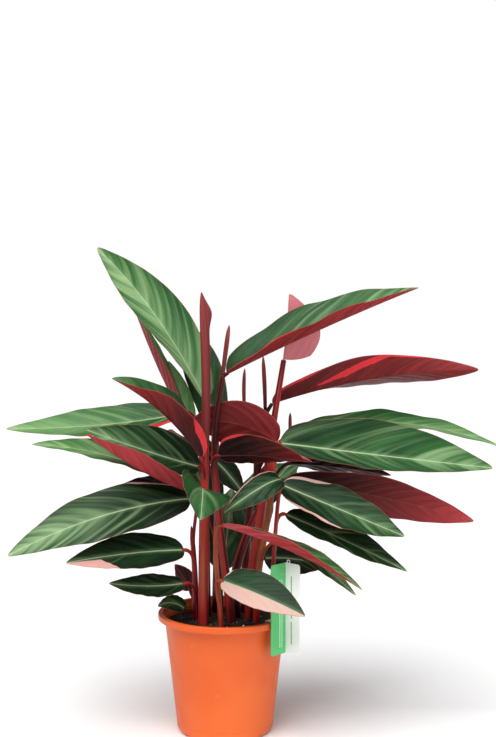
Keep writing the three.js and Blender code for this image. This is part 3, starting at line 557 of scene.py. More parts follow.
# %% A blade's rings and faces
def blade_faces(rows, columns):
    """Rings of upper and lower skin with a rim point between them, closed at the base and the tip."""
    ring = 2 * columns + 2
    last = (rows - 1) * ring
    here = np.arange(columns - 1)
    below = 2 * columns - here
    end = np.stack([here, here + 1, below - 1, below], -1)
    rims = [(columns - 1, columns, columns + 1), (2 * columns, 2 * columns + 1, 0)]
    faces = list(ring_faces(rows, ring)) + list(end + last) + list(end[:, ::-1])
    faces += [np.array(rim) + last for rim in rims] + [np.array(rim[::-1]) for rim in rims]
    return faces


def all_round(values, rim=None):
    """Values of the upper skin as they stand on a whole ring: upper, right rim, lower, left rim."""
    right, left = (values[:, -1:], values[:, :1]) if rim is None else (rim, rim)
    return np.concatenate([values, right, values[:, ::-1], left], axis=1).ravel()


BLADE_FACES = blade_faces(BLADE_ROWS, BLADE_COLUMNS)
print("triangles in a blade:", 2 * len(BLADE_FACES) - 4)

# %% A blade's relief
HALF_THICK, MARGIN_LOSS, RIM_OUT = 0.36, 0.16, 0.16  # mm: at the midrib, less at the margin, past it
RIB_LIFT, QUILT_LIFT, RIPPLE_LIFT = 0.07, 0.6, 0.5  # mm: ribs, bulges between them, the margin's ripple
QUILT_PITCH, RIPPLES = 23, 7  # mm from bulge to bulge; ripples from base to tip
GROOVE_HALF, GROOVE_DEPTH, KEEL_DEPTH = 1.3, 0.45, 1.0  # mm: over the midrib and below it


def blade_points(leaf, part, across, seed):
    """The sheet lifted by half its thickness and its relief on each side, with a rim between. The ribs
    are waves two vein pitches long."""
    sheet = blade_sheet(leaf, part, across) + lobes(leaf, part, across)
    normal = blade_normal(leaf, part, across)
    distance = np.abs(across) * half_width(leaf, part, across)
    begun = vein_line(leaf, part, across)
    fullness = outline(part)
    flank = np.clip(1 - np.abs(across) ** 4, 0, 1) * np.clip(distance / 5, 0, 1) * fullness
    ribs = RIB_LIFT * np.sin(np.pi * begun / VEIN_PITCH) * flank
    quilt = QUILT_LIFT * np.sin(2 * np.pi * begun / QUILT_PITCH + seed) * flank
    along_margin = np.sin(2 * np.pi * RIPPLES * part + seed * 2 + 3 * (across > 0))
    ripple = RIPPLE_LIFT * np.abs(across) ** 3 * along_margin * fullness
    groove = np.exp(-(distance / GROOVE_HALF) ** 2) * (1 - 0.75 * part)
    half_thickness = (HALF_THICK - MARGIN_LOSS * np.abs(across) ** 3) * (1 - 0.6 * part ** 6)
    upper = half_thickness + ribs + quilt + ripple - GROOVE_DEPTH * groove
    lower = -half_thickness + 0.6 * ribs + quilt + ripple - KEEL_DEPTH * groove
    top = sheet + normal * upper[..., None]
    bottom = sheet + normal * lower[..., None]
    rim_out = unit(top[:, [-1, 0]] - top[:, [-2, 1]]) * RIM_OUT
    rim = (top[:, [-1, 0]] + bottom[:, [-1, 0]]) / 2 + rim_out
    return np.concatenate([top, rim[:, :1], bottom[:, ::-1], rim[:, 1:]], axis=1)


# %% A blade's per-point values
def blade_values(name, leaf, part, across, seed):
    """Vectors for the material: vein, across, seed; margin, part, side; feather, sector, hue; tones."""
    tone = {**PLAIN, **TONES.get(name, {})}
    ground, feather, under = (tone[key][0] + (tone[key][1] - tone[key][0]) * part
                              for key in ("ground", "pale", "under"))
    # On leaf_01 the extra left feather is partly painted light on the half that faces the lamp.
    feather = (feather + tone["left"] * (across < 0)) * (1.2 - 0.55 * np.abs(across))
    ground = ground - 0.12 * np.abs(across) ** 2
    sector, hue = sector_strength(tone["sectors"], part, across)
    signed = across * half_width(leaf, part, across)
    margin = half_width(leaf, part, across) - np.abs(signed)
    begun = all_round(vein_line(leaf, part, across))
    edge = np.full((BLADE_ROWS, 1), 0.0)
    skin = np.concatenate([np.ones_like(part), edge + 0.5, np.zeros_like(part), edge + 0.5], axis=1).ravel()
    return {
        "vein_place": np.stack([begun, all_round(signed), np.full(len(begun), 7.3 * seed)], -1),
        "margin_part_side": np.stack([all_round(margin, edge), all_round(part), skin], -1),
        "feather_sector_hue": np.stack([all_round(feather), all_round(sector), all_round(hue)], -1),
        "ground_under_and_shade": np.stack([all_round(ground), all_round(under), 0 * begun], -1),
    }


def blade_piece(name, leaf, seed, material):
    """The whole blade: rows denser at its ends and columns denser at its margins. Where a rim would
    stand out of the solids' box by a fraction of a millimetre, it is held at the box."""
    rows = np.linspace(0, 1, BLADE_ROWS)
    part = (0.45 * rows + 0.55 * (1 - np.cos(np.pi * rows)) / 2)[:, None]
    across = np.sin(np.linspace(-np.pi / 2, np.pi / 2, BLADE_COLUMNS) * 0.92)[None, :]
    part, across = np.broadcast_arrays(part, across / across.max())
    points = np.clip(blade_points(leaf, part, across, seed).reshape(-1, 3), *(np.array(cad_box) / MM))
    values = blade_values(name, leaf, part, across, seed)
    return piece_from(name + "_blade", points, BLADE_FACES, [material], values=values)


# %% [markdown]
# ## The skin of a triostar leaf
#
# A waxy cuticle over green tissue: satin, not glossy, with pale feathers along the veins above and a
# velvety maroon below. Painting it by hand would need a picture for every blade. Here four attributes
# carry the vein a point lies on, its distances and its tones, and noise stretched along the veins does
# the rest, so the stripes follow each leaf's own curve. Light passes a thin leaf, so a share of it is
# scattered below the surface.

# %% Leaf material, first its numbers: waxy leaf skin, satin, with light inside it
leaf_skin, leaf_shader = new_material("waxy_leaf_skin")
place = add(leaf_skin, "Attribute", out="Vector", attribute_name="vein_place")
distances = add(leaf_skin, "Attribute", out="Vector", attribute_name="margin_part_side")
marks = add(leaf_skin, "Attribute", out="Vector", attribute_name="feather_sector_hue")
tones = add(leaf_skin, "Attribute", out="Vector", attribute_name="ground_under_and_shade")
vein_mm, across_mm = (add(leaf_skin, "SeparateXYZ", {0: place}, out) for out in range(2))
margin_mm, along, upper = (add(leaf_skin, "SeparateXYZ", {0: distances}, out) for out in range(3))
feather, sector, hue = (add(leaf_skin, "SeparateXYZ", {0: marks}, out) for out in range(3))
ground, under = (add(leaf_skin, "SeparateXYZ", {0: tones}, out) for out in range(2))


def streaks(size, detail, seed=0.0):
    """Noise stretched along the veins: size is its grain in mm across and along them."""
    grain = (1 / size[0], 1 / size[1], 1.0)
    scaled = add(leaf_skin, "VectorMath", {0: place, 1: grain}, operation="MULTIPLY")
    moved = add(leaf_skin, "VectorMath", {0: scaled, 1: (seed, seed, seed)}, operation="ADD")
    return add(leaf_skin, "TexNoise", {"Vector": moved, "Scale": 1.0, "Detail": detail, "Roughness": 0.55})


# %% Leaf material, the green: a ground from black-green to fresh green, with feathers over it
broad = streaks((17.0, 70.0), 1.0)  # a grain of 17 mm across the veins
fine = streaks((5.2, 46.0), 2.0, 5.1)  # and one of 5 mm, which breaks it up
patches = streaks((30.0, 34.0), 1.0, 9.0)
# The ground's dark end is partly painted shade, at the blades' bases and on blades inside the clump.
ground = add(leaf_skin, "Math", {0: patches, 1: 0.34, 2: ground}, operation="MULTIPLY_ADD")
ground = add(leaf_skin, "Math", {0: fine, 1: 0.16, 2: ground}, operation="MULTIPLY_ADD")
ground = add(leaf_skin, "Math", {0: ground, 1: 0.25}, operation="SUBTRACT")
greens = [(0.0, "#0b170b"), (0.25, "#17391a"), (0.5, "#316432"), (0.75, "#578a4c"), (1.0, "#8aae74")]
green = add(leaf_skin, "ValToRGB", {0: ground}, stops=greens)
feather = add(leaf_skin, "Math", {0: feather, 1: 0.6, 2: broad}, operation="MULTIPLY_ADD")
feather = add(leaf_skin, "Math", {0: fine, 1: 0.25, 2: feather}, operation="MULTIPLY_ADD")
feather = add(leaf_skin, "MapRange", {0: feather, 1: 0.76, 2: 1.4, 4: 0.85}, **SMOOTH)
feather_tint = add(leaf_skin, "Mix", {0: patches, 6: "#86ab7c", 7: "#9fbb82"}, 2, data_type="RGBA")

# %% Leaf material, veins and midrib
vein_turn = add(leaf_skin, "Math", {0: vein_mm, 1: 2 * math.pi / VEIN_PITCH}, operation="MULTIPLY")
vein_wave = add(leaf_skin, "Math", {0: vein_turn}, operation="SINE")
vein_dark = add(leaf_skin, "MapRange", {0: vein_wave, 1: 0.3, 2: 1.0, 4: 0.2}, **SMOOTH)
from_rib = add(leaf_skin, "Math", {0: across_mm}, operation="ABSOLUTE")
rib_width = add(leaf_skin, "MapRange", {0: along, 3: 1.15, 4: 0.4})
rib_place = add(leaf_skin, "Math", {0: from_rib, 1: rib_width}, operation="DIVIDE")
rib = add(leaf_skin, "MapRange", {0: rib_place, 1: 0.45, 2: 1.25, 3: 0.66, 4: 0.0}, **SMOOTH)
beside_rib = add(leaf_skin, "MapRange", {0: from_rib, 1: 0.0, 2: 6.0, 3: 0.18, 4: 0.0}, **SMOOTH)
green = layers(leaf_skin, green, [
    (feather, feather_tint), (beside_rib, "#9db892"), (vein_dark, "#12300f"), (rib, "#b4cb92")])

# %% Leaf material, sectors: cream, pink or red, ragged along the veins
ragged = streaks((2.2, 26.0), 3.0, 2.2)
sector_edge = add(leaf_skin, "Math", {0: ragged, 1: 0.6, 2: sector}, operation="MULTIPLY_ADD")
in_sector = add(leaf_skin, "MapRange", {0: sector_edge, 1: 0.74, 2: 0.88}, **SMOOTH)
hues = [(0.0, "#ddd4b4"), (0.3, "#c6a598"), (0.55, "#cb908a"), (0.8, "#c63a44"), (1.0, "#cc1626")]
sector_colour = add(leaf_skin, "ValToRGB", {0: hue}, stops=hues)
flecks = add(leaf_skin, "MapRange", {0: fine, 1: 0.56, 2: 0.72, 4: 0.3}, **SMOOTH)
sector_colour = layers(leaf_skin, sector_colour, [(flecks, "#d9a08f")])
green = layers(leaf_skin, green, [(in_sector, sector_colour)])

# %% Leaf material, the underside: velvety maroon, darker along the veins
glow = streaks((7.0, 50.0), 2.0, 3.3)
# The under tone's dark end is partly painted shade, at the blades' bases and on blades inside the clump.
under = add(leaf_skin, "Math", {0: glow, 1: 0.3, 2: under}, operation="MULTIPLY_ADD")
under = add(leaf_skin, "Math", {0: under, 1: 0.15}, operation="SUBTRACT")
maroons = [(0.0, "#180706"), (0.2, "#4a1211"), (0.4, "#7f2425"), (0.6, "#ab373b"), (0.9, "#cf7478")]
maroon = add(leaf_skin, "ValToRGB", {0: under}, stops=maroons)
rib_below = add(leaf_skin, "Math", {0: rib, 1: 0.35}, operation="MULTIPLY")
margin_glow = add(leaf_skin, "MapRange", {0: margin_mm, 1: 0.4, 2: 2.2, 3: 0.4, 4: 0.0}, **SMOOTH)
rolled_hue = add(leaf_skin, "ValToRGB", {0: hue}, stops=[(0.3, "#c8767a"), (0.8, "#d23038")])
maroon = layers(leaf_skin, maroon, [
    (vein_dark, "#3c1110"), (rib_below, "#a2504a"), (margin_glow, "#a8323a"), (in_sector, rolled_hue)])

# %% Leaf material, put together
on_edge = add(leaf_skin, "MapRange", {0: margin_mm, 1: 0.2, 2: 0.7, 3: 0.45, 4: 0.0}, **SMOOTH)
colour = layers(leaf_skin, maroon, [(upper, green), (on_edge, "#9a5f50")])
cloud = add(leaf_skin, "TexNoise", {"Vector": place, "Scale": 0.35, "Detail": 2.0})
rough = add(leaf_skin, "MapRange", {0: cloud, 1: 0.3, 2: 0.7, 3: 0.36, 4: 0.5}, **SMOOTH)
cells = add(leaf_skin, "TexNoise", {"Vector": place, "Scale": 1.6, "Detail": 3.0})
relief = add(leaf_skin, "Math", {0: vein_wave, 1: 0.25, 2: cells}, operation="MULTIPLY_ADD")
bump = add(leaf_skin, "Bump", {"Strength": 0.35, "Distance": 0.0002, "Height": relief})
fill(leaf_skin, leaf_shader, {
    "Base Color": colour, "Roughness": rough, "Normal": bump, "Specular IOR Level": 0.16,
    "Subsurface Weight": 0.12,
    "Subsurface Radius": (1.0, 0.45, 0.25), "Subsurface Scale": 0.0012})
print("leaf material:", len(leaf_skin.node_tree.nodes), "nodes")

# %% The blades
blade_count = 0
for shoot in SHOOTS.values():
    for leaf_name, leaf in shoot["leaves"].items():
        blade = blade_piece(leaf_name, leaf, 1.0 + 0.37 * blade_count, leaf_skin)
        stand_for(blade, leaf_name)
        blade_count += 1
print("blades:", blade_count)

# %% [markdown]
# ## Stems and stalks
#
# A shoot's stem is no single stick: it is a bundle of leaf sheaths, each wrapped round the younger
# ones, which is why it shows long grooves and stripes of olive and red. Each stalk parts from it as
# the top of its own sheath and ends in a short swollen knee that turns the blade to the light. Tubes
# along the solids' own curves give all of it; the grooves come from a wavy cross-section.

# %% Curves
def through_points(points, per_span=60):
    """A centripetal Catmull-Rom curve: cubic spans whose tangents weigh each chord by its root."""
    points = np.array(points, float)
    ends = [2 * points[0] - points[1], 2 * points[-1] - points[-2]]
    padded = np.vstack([ends[0], points, ends[1]])
    spans = []
    for p0, p1, p2, p3 in zip(padded, padded[1:], padded[2:], padded[3:]):
        d0, d1, d2 = (np.sqrt(np.linalg.norm(b - a)) for a, b in ((p0, p1), (p1, p2), (p2, p3)))
        m1 = d1 * ((p1 - p0) / d0 - (p2 - p0) / (d0 + d1) + (p2 - p1) / d1)
        m2 = d1 * ((p2 - p1) / d1 - (p3 - p1) / (d1 + d2) + (p3 - p2) / d2)
        t = np.linspace(0, 1, per_span, endpoint=False)[:, None]
        cubic = p1 + m1 * t + (3 * (p2 - p1) - 2 * m1 - m2) * t ** 2 + (2 * (p1 - p2) + m1 + m2) * t ** 3
        spans.append(cubic)
    return np.vstack(spans + [points[-1:]])


def evenly(points, count):
    """The same curve with its points the same distance apart, and the share of its length at each."""
    steps = np.linalg.norm(np.diff(points, axis=0), axis=1)
    length = np.concatenate([[0], np.cumsum(steps)]) / steps.sum()
    share = np.linspace(0, 1, count)
    return np.stack([np.interp(share, length, points[:, axis]) for axis in range(3)], -1), share


# %% Tubes
def fan_caps(rings, sides):
    """Triangles from the first and the last ring to one point each, which follow the rings' points."""
    here = np.arange(sides)
    after = (here + 1) % sides
    last = (rings - 1) * sides
    foot = np.full(sides, rings * sides)
    return [*np.stack([after, here, foot], -1), *np.stack([here + last, after + last, foot + 1], -1)]


def tube(points, radius, sides, shape, twist=0.0):
    """A tube along points. Its rings start from one direction made square to the path at each point.
    shape(angle, share) scales the radius round the ring. It ends in two small domed caps."""
    tangent = unit(np.gradient(points, axis=0))
    chord = unit(points[-1] - points[0])
    aside = np.cross(chord, [0.0, 1.0, 0.0] if abs(chord[1]) < 0.8 else [1.0, 0.0, 0.0])
    across = unit(aside - tangent * (tangent @ aside)[:, None])
    over = np.cross(tangent, across)
    share = np.linspace(0, 1, len(points))[:, None]
    angle = np.linspace(0, 2 * np.pi, sides, endpoint=False)[None, :] + twist * share
    reach = np.asarray(radius, float).reshape(-1, 1) * shape(angle, share)
    rings = points[:, None] + reach[..., None] * (
        np.cos(angle)[..., None] * across[:, None] + np.sin(angle)[..., None] * over[:, None])
    foot = points[0] - tangent[0] * reach[0].mean() * 0.3
    head = points[-1] + tangent[-1] * reach[-1].mean() * 0.3
    faces = [*ring_faces(len(points), sides), *fan_caps(len(points), sides)]
    height = np.append(np.broadcast_to(share, angle.shape), [0, 1])
    round_it = np.append(angle - twist * share, [0, 0])
    return np.vstack([rings.reshape(-1, 3), foot, head]), faces, height, round_it


def gather(tubes, seeds):
    """Several tubes as one set of points and faces, with share along, angle round and seed for each."""
    points, faces, values, offset = [], [], [], 0
    for (tube_points, tube_faces, share, angle), seed in zip(tubes, seeds):
        points.append(tube_points)
        faces.extend(face + offset for face in tube_faces)
        values.append(np.stack([share, angle, np.full(len(share), seed)], -1))
        offset += len(tube_points)
    return np.vstack(points), faces, np.vstack(values)


# %% [markdown]
# ## The skin of stems, stalks and spears
#
# Stem skin is firm and fibrous: maroon and red, olive-brown on the outer sheaths, with long stripes, and
# painted nearly black as shade near the soil and up among the leaves. Spears are young leaves rolled
# with the maroon underside outwards. Both need the same stripes with their own colours, so one function
# makes both.

# %% Stem material: fibrous stem skin, satin; spear material: rolled young leaf, soft satin
def striped_skin(name, stops, stripe_share, roughness):
    """Stripes along the stem: noise on the angle round it that hardly changes along it."""
    skin, shader = new_material(name)
    place = add(skin, "Attribute", out="Vector", attribute_name="stem_place")
    hue = add(skin, "Attribute", out="Fac", attribute_name="stem_hue")
    share, angle, seed = (add(skin, "SeparateXYZ", {0: place}, out) for out in range(3))
    round_x = add(skin, "Math", {0: angle}, operation="COSINE")
    round_y = add(skin, "Math", {0: angle}, operation="SINE")
    drawn_out = add(skin, "Math", {0: share, 1: 1.4}, operation="MULTIPLY")
    on_stem = add(skin, "CombineXYZ", {0: round_x, 1: round_y, 2: drawn_out})
    shift = add(skin, "CombineXYZ", {0: seed, 1: seed, 2: seed})
    where = add(skin, "VectorMath", {0: on_stem, 1: shift}, operation="ADD")
    stripe = add(skin, "TexNoise", {"Vector": where, "Scale": 1.3, "Detail": 2.5})
    narrow = add(skin, "VectorMath", {0: where, 1: (9.0, 9.0, 1.2)}, operation="MULTIPLY")
    fibres = add(skin, "TexNoise", {"Vector": narrow, "Scale": 1.0, "Detail": 2.0})
    mixed = add(skin, "Math", {0: stripe, 1: stripe_share, 2: hue}, operation="MULTIPLY_ADD")
    mixed = add(skin, "Math", {0: fibres, 1: 0.3, 2: mixed}, operation="MULTIPLY_ADD")
    mixed = add(skin, "Math", {0: mixed, 1: 0.5 * stripe_share + 0.15}, operation="SUBTRACT")
    colour = add(skin, "ValToRGB", {0: mixed}, stops=stops)
    rough = add(skin, "MapRange", {0: fibres, 1: 0.3, 2: 0.7, 3: roughness, 4: roughness + 0.14}, **SMOOTH)
    bump = add(skin, "Bump", {"Strength": 0.4, "Distance": 0.0003, "Height": fibres})
    fill(skin, shader, {
        "Base Color": colour, "Roughness": rough, "Normal": bump, "Specular IOR Level": 0.22,
        "Subsurface Weight": 0.15,
        "Subsurface Radius": (1.0, 0.4, 0.25), "Subsurface Scale": 0.0015})
    return skin


stem_skin = striped_skin("fibrous_stem_skin", [
    (0.0, "#1d0605"), (0.3, "#5a1311"), (0.5, "#a02426"), (0.7, "#972d20"), (0.98, "#8c5526")], 1.5, 0.36)
spear_skin = striped_skin("rolled_leaf_skin", [
    (0.1, "#4a1817"), (0.45, "#742827"), (0.7, "#8f3d39"), (0.95, "#7d4b30")], 0.7, 0.42)
print("stem materials:", stem_skin.name, spear_skin.name)

# %% Sections and paths of stems, stalks and spears
STEM_BOTTOM, STRAIGHT_TO, STALK_RADIUS = 95, 146, 2.2  # mm
STALK_SHORT, STALK_INTO = 0.6, 1.8  # mm: the curve ends before the blade's base, the tube runs past it
LEAVING_PULL, ARRIVING_PULL, LONGEST_PULL = 0.45, 0.3, 16  # shares of the reach, and a limit in mm


def sheath_section(angle, share):
    """Three shallow lobes that turn slowly up the stem, as wrapped sheaths do."""
    return 1 + 0.055 * np.cos(3 * angle + 2.5 * share) + 0.02 * np.cos(7 * angle)


def stalk_section(angle, share):
    """A shallow channel along the stalk."""
    return 1 + 0.04 * np.cos(2 * angle)


def stalk_path(stem, leaf):
    """From inside the stem a Bezier curve leaves along the stem and arrives along the blade."""
    heights = np.maximum.accumulate(stem[:, 2])
    spots = np.linspace(0, 1, len(stem))
    part = np.interp(leaf["parts"], heights, spots)
    start = np.array([np.interp(part, spots, stem[:, axis]) for axis in range(3)])
    ahead = unit(np.gradient(stem, axis=0))
    leaving = unit(np.array([np.interp(part, spots, ahead[:, axis]) for axis in range(3)]))
    base = np.array(leaf["base"], float)
    arriving = midrib(leaf, np.array([0.0]))[1][0]
    end = base - STALK_SHORT * arriving
    reach = np.linalg.norm(end - start)
    pull = min(ARRIVING_PULL * reach, LONGEST_PULL)
    knots = [start, start + leaving * LEAVING_PULL * reach, end - arriving * pull, end]
    t = np.linspace(0, 1, 60)[:, None]
    bezier = knots[0] * (1 - t) ** 3 + knots[1] * 3 * t * (1 - t) ** 2 + knots[2] * 3 * t ** 2 * (1 - t)
    bezier = bezier + knots[3] * t ** 3
    return np.vstack([bezier, base + STALK_INTO * arriving])


def stalk_radius(share, length):
    """Broad where it is still a sheath, slim above, and swollen into a knee below the blade."""
    sheath = 1.0 * np.exp(-share / 0.16)
    knee = 0.55 * np.exp(-((share - 1 + 5.5 / length) * length / 5.0) ** 2)
    return STALK_RADIUS * (0.86 + 0.1 * (1 - share)) + sheath + knee


def spear_path(spear, count):
    """The quadratic Bezier curve through base, middle and tip."""
    base, middle, tip = (np.array(spear[key], float) for key in ("base", "middle", "tip"))
    t = np.linspace(0, 1, count)[:, None]
    return base * (1 - t) ** 2 + (2 * middle - 0.5 * base - 0.5 * tip) * 2 * t * (1 - t) + tip * t ** 2


def loose_roll(angle, share):
    """A rolled leaf's section: it shrinks round the roll, steps back at the seam, and opens a lip on
    its right side near the top, where the tall spear begins to unroll."""
    turn = np.mod(angle - np.pi + 0.5, 2 * np.pi) / (2 * np.pi)
    seam = np.exp(-((turn - 0.08) / 0.07) ** 2)
    opening = 1.15 * np.exp(-((share - 0.84) / 0.09) ** 2)
    return 1 - 0.1 * turn + (0.04 + opening) * seam


def tight_roll(angle, share):
    """The same without the lip."""
    turn = np.mod(angle, 2 * np.pi) / (2 * np.pi)
    return 1 - 0.12 * turn + 0.15 * np.exp(-(turn / 0.035) ** 2)


# %% Stems with their stalks
SHOOT_HUES = {"shoot_front_left": 0.62, "shoot_front": 0.8, "shoot_mid": 0.5, "shoot_tall": 0.56,
              "shoot_right": 0.78, "shoot_inner_right": 0.22, "shoot_thin": 0.72, "shoot_back_left": 0.55,
              "shoot_back": 0.25, "shoot_left_low": 0.5, "shoot_back_right": 0.28}
OPEN_TOP = "shoot_left_low"  # the only stem whose top carries nothing: its sheath narrows there
STEM_RINGS, STEM_SIDES, STALK_RINGS, STALK_SIDES = 110, 28, 56, 14
# Below and above these heights the stems' colour falls towards black: painted shade of the clump near the
# soil and among the leaves.
SHADE_LOW_FROM, SHADE_LOW_OVER, SHADE_HIGH_FROM, SHADE_HIGH_OVER = 190, 50, 300, 80  # mm: the hue falls below and above these
for seed, (shoot_name, shoot) in enumerate(SHOOTS.items()):
    (x, y), *above = shoot["axis"]
    stem, share = evenly(through_points([(x, y, STEM_BOTTOM), (x, y, STRAIGHT_TO), *above]), STEM_RINGS)
    radius = shoot["radius"][0] + (shoot["radius"][1] - shoot["radius"][0]) * share
    if shoot_name == OPEN_TOP:
        radius = radius * np.clip((1 - share) / 0.1, 0.04, 1) ** 0.5
    tubes = [tube(stem, radius, STEM_SIDES, sheath_section)]
    for leaf in [*shoot["spears"].values(), *shoot["leaves"].values()]:
        if leaf.get("parts"):
            path, part = evenly(stalk_path(stem, leaf), STALK_RINGS)
            length = np.linalg.norm(np.diff(path, axis=0), axis=1).sum()
            tubes.append(tube(path, stalk_radius(part, length), STALK_SIDES, stalk_section))
    points, faces, place_values = gather(tubes, [5.3 * seed + 1.7 * k for k in range(len(tubes))])
    # Painted shade: the hue falls towards black near the soil and high up among the leaves.
    low = np.clip((SHADE_LOW_FROM - points[:, 2]) / SHADE_LOW_OVER, 0, 1)
    high = np.clip((points[:, 2] - SHADE_HIGH_FROM) / SHADE_HIGH_OVER, 0, 1)
    hue_and_shade = SHOOT_HUES[shoot_name] - 0.25 * low - 0.3 * high
    stem_values = {"stem_place": place_values, "stem_hue": hue_and_shade}
    bundle = piece_from(shoot_name + "_stem", points, faces, [stem_skin], values=stem_values)
    stand_for(bundle, shoot_name)
    print(shoot_name, "stalks:", len(tubes) - 1)

# %% Spears
SPEAR_RINGS, SPEAR_SIDES = 90, 48
for seed, shoot in enumerate(SHOOTS.values()):
    for spear_name, spear in shoot["spears"].items():
        t = np.linspace(0, 1, SPEAR_RINGS)
        radius = spear["radius"] * (0.8 + 0.3 * t) * (1 - t ** 6) ** 0.8 + 0.3
        roll_shape = loose_roll if spear_name == "spear_tall" else tight_roll
        roll = tube(spear_path(spear, SPEAR_RINGS), radius, SPEAR_SIDES, roll_shape)
        points, faces, place_values = gather([roll], [2.3 * seed])
        spear_values = {"stem_place": place_values, "stem_hue": 0.3 + 0.3 * place_values[:, 0]}
        thing = piece_from(spear_name + "_roll", points, faces, [spear_skin], values=spear_values)
        stand_for(thing, spear_name)
print("spears done")

# %% [markdown]
# ## The pot
#
# An injection-moulded nursery pot of orange polypropylene: a tapered wall, a deep rolled lip, a small
# step above the foot and drain holes in the floor. All but the holes is one profile turned round an
# axis; the holes are cut with a Boolean, which is applied, so the finished mesh is plain.

# %% Lathe
POT_RIM, POT_HEIGHT, LIP_DEPTH, LIP_WALL, LIP_ROUND, SHOULDER = 85, 150, 8, 6.3, 1.4, 4.5  # mm
BODY_TOP, BASE_RADIUS, BASE_FILLET, POT_WALL, POT_FLOOR = 76.7, 60.2, 7.6, 1.6, 2
LIP_BOTTOM = POT_HEIGHT - LIP_DEPTH


def arc(centre, radius, start, end, count):
    """Points on a circle in the profile's plane, from one angle to another in degrees."""
    angle = np.radians(np.linspace(start, end, count))
    return np.stack([centre[0] + radius * np.cos(angle), centre[1] + radius * np.sin(angle)], -1)


def lathe(profile, segments):
    """A closed profile turned about Z: points (r cos a, r sin a, z). Its ends lie on the axis."""
    inner = profile[1:-1]
    angle = np.linspace(0, 2 * np.pi, segments, endpoint=False)[None, :]
    rings = np.stack([
        inner[:, :1] * np.cos(angle), inner[:, :1] * np.sin(angle), inner[:, 1:] + 0 * angle], -1)
    ends = np.array([[0, 0, profile[0, 1]], [0, 0, profile[-1, 1]]], float)
    faces = [*ring_faces(len(inner), segments), *fan_caps(len(inner), segments)]
    return np.vstack([rings.reshape(-1, 3), ends]), faces


def body_at(height):
    """The wall's outer radius at a height."""
    return BASE_RADIUS + (BODY_TOP - BASE_RADIUS) * height / LIP_BOTTOM


# %% The pot's profile, from the floor's underside over the lip to its inside
fillet_centre = body_at(BASE_FILLET) - BASE_FILLET
mouth = POT_RIM - LIP_WALL
inner_fillet = BASE_FILLET - POT_WALL
wall_heights = np.linspace(BASE_FILLET + 6, LIP_BOTTOM - 1.2, 24)
STEP_DEPTH = 0.35  # mm: the small step above the foot
profile = np.vstack([
    [[0, 0.0], [fillet_centre - 9, 0.0]],
    arc((fillet_centre, BASE_FILLET), BASE_FILLET, -90, 0, 10),
    [[body_at(11.0), 11.0], [body_at(11.6) - STEP_DEPTH, 11.5],
     [body_at(12.4) - STEP_DEPTH, 12.3], [body_at(13.0), 13.0]],
    np.stack([body_at(wall_heights), wall_heights], -1),
    arc((BODY_TOP + 0.8, LIP_BOTTOM - 0.8), 0.8, 170, 90, 4),
    arc((POT_RIM - LIP_ROUND, LIP_BOTTOM + LIP_ROUND), LIP_ROUND, -90, 0, 6),
    arc((POT_RIM - LIP_ROUND, POT_HEIGHT - LIP_ROUND), LIP_ROUND, 0, 90, 8),
    arc((mouth + LIP_ROUND, POT_HEIGHT - LIP_ROUND), LIP_ROUND, 90, 180, 8),
    [[mouth, LIP_BOTTOM + SHOULDER + 1], [mouth - 0.3, LIP_BOTTOM + SHOULDER - 0.4]],
    [[BODY_TOP - POT_WALL, LIP_BOTTOM]],
    np.stack([body_at(wall_heights[::-4]) - POT_WALL, wall_heights[::-4]], -1),
    arc((fillet_centre, POT_FLOOR + inner_fillet), inner_fillet, 0, -90, 6),
    [[0, POT_FLOOR]],
])
pot_points, pot_faces = lathe(profile, 192)
print("pot profile points:", len(profile))

# %% Pot material: moulded polypropylene, satin, slightly uneven
pot_plastic, pot_shader = new_material("moulded_polypropylene")
spot = add(pot_plastic, "TexCoord", out="Object")
tone = add(pot_plastic, "TexNoise", {"Vector": spot, "Scale": 9.0, "Detail": 2.0})
tone = add(pot_plastic, "MapRange", {0: tone, 1: 0.35, 2: 0.65}, **SMOOTH)
drawn = add(pot_plastic, "Mapping", {"Vector": spot, "Scale": (40.0, 40.0, 900.0)})
rings = add(pot_plastic, "TexNoise", {"Vector": drawn, "Scale": 1.0, "Detail": 2.0})
grain = add(pot_plastic, "TexNoise", {"Vector": spot, "Scale": 1400.0, "Detail": 2.0})
scuff = add(pot_plastic, "TexNoise", {"Vector": spot, "Scale": 60.0, "Detail": 6.0})
scuffed = add(pot_plastic, "MapRange", {0: scuff, 1: 0.62, 2: 0.75, 4: 0.08}, **SMOOTH)
orange = layers(pot_plastic, "#d9580f", [(tone, "#e0631b"), (scuffed, "#eaa070")])
satin = add(pot_plastic, "MapRange", {0: scuff, 1: 0.35, 2: 0.7, 3: 0.4, 4: 0.52}, **SMOOTH)
texture = add(pot_plastic, "Math", {0: grain, 1: 0.5, 2: rings}, operation="MULTIPLY_ADD")
pot_bump = add(pot_plastic, "Bump", {"Strength": 0.12, "Distance": 0.0003, "Height": texture})
fill(pot_plastic, pot_shader, {
    "Base Color": orange, "Roughness": satin, "Normal": pot_bump, "IOR": 1.49, "Subsurface Weight": 0.1,
    "Subsurface Radius": (1.0, 0.5, 0.2), "Subsurface Scale": 0.002})

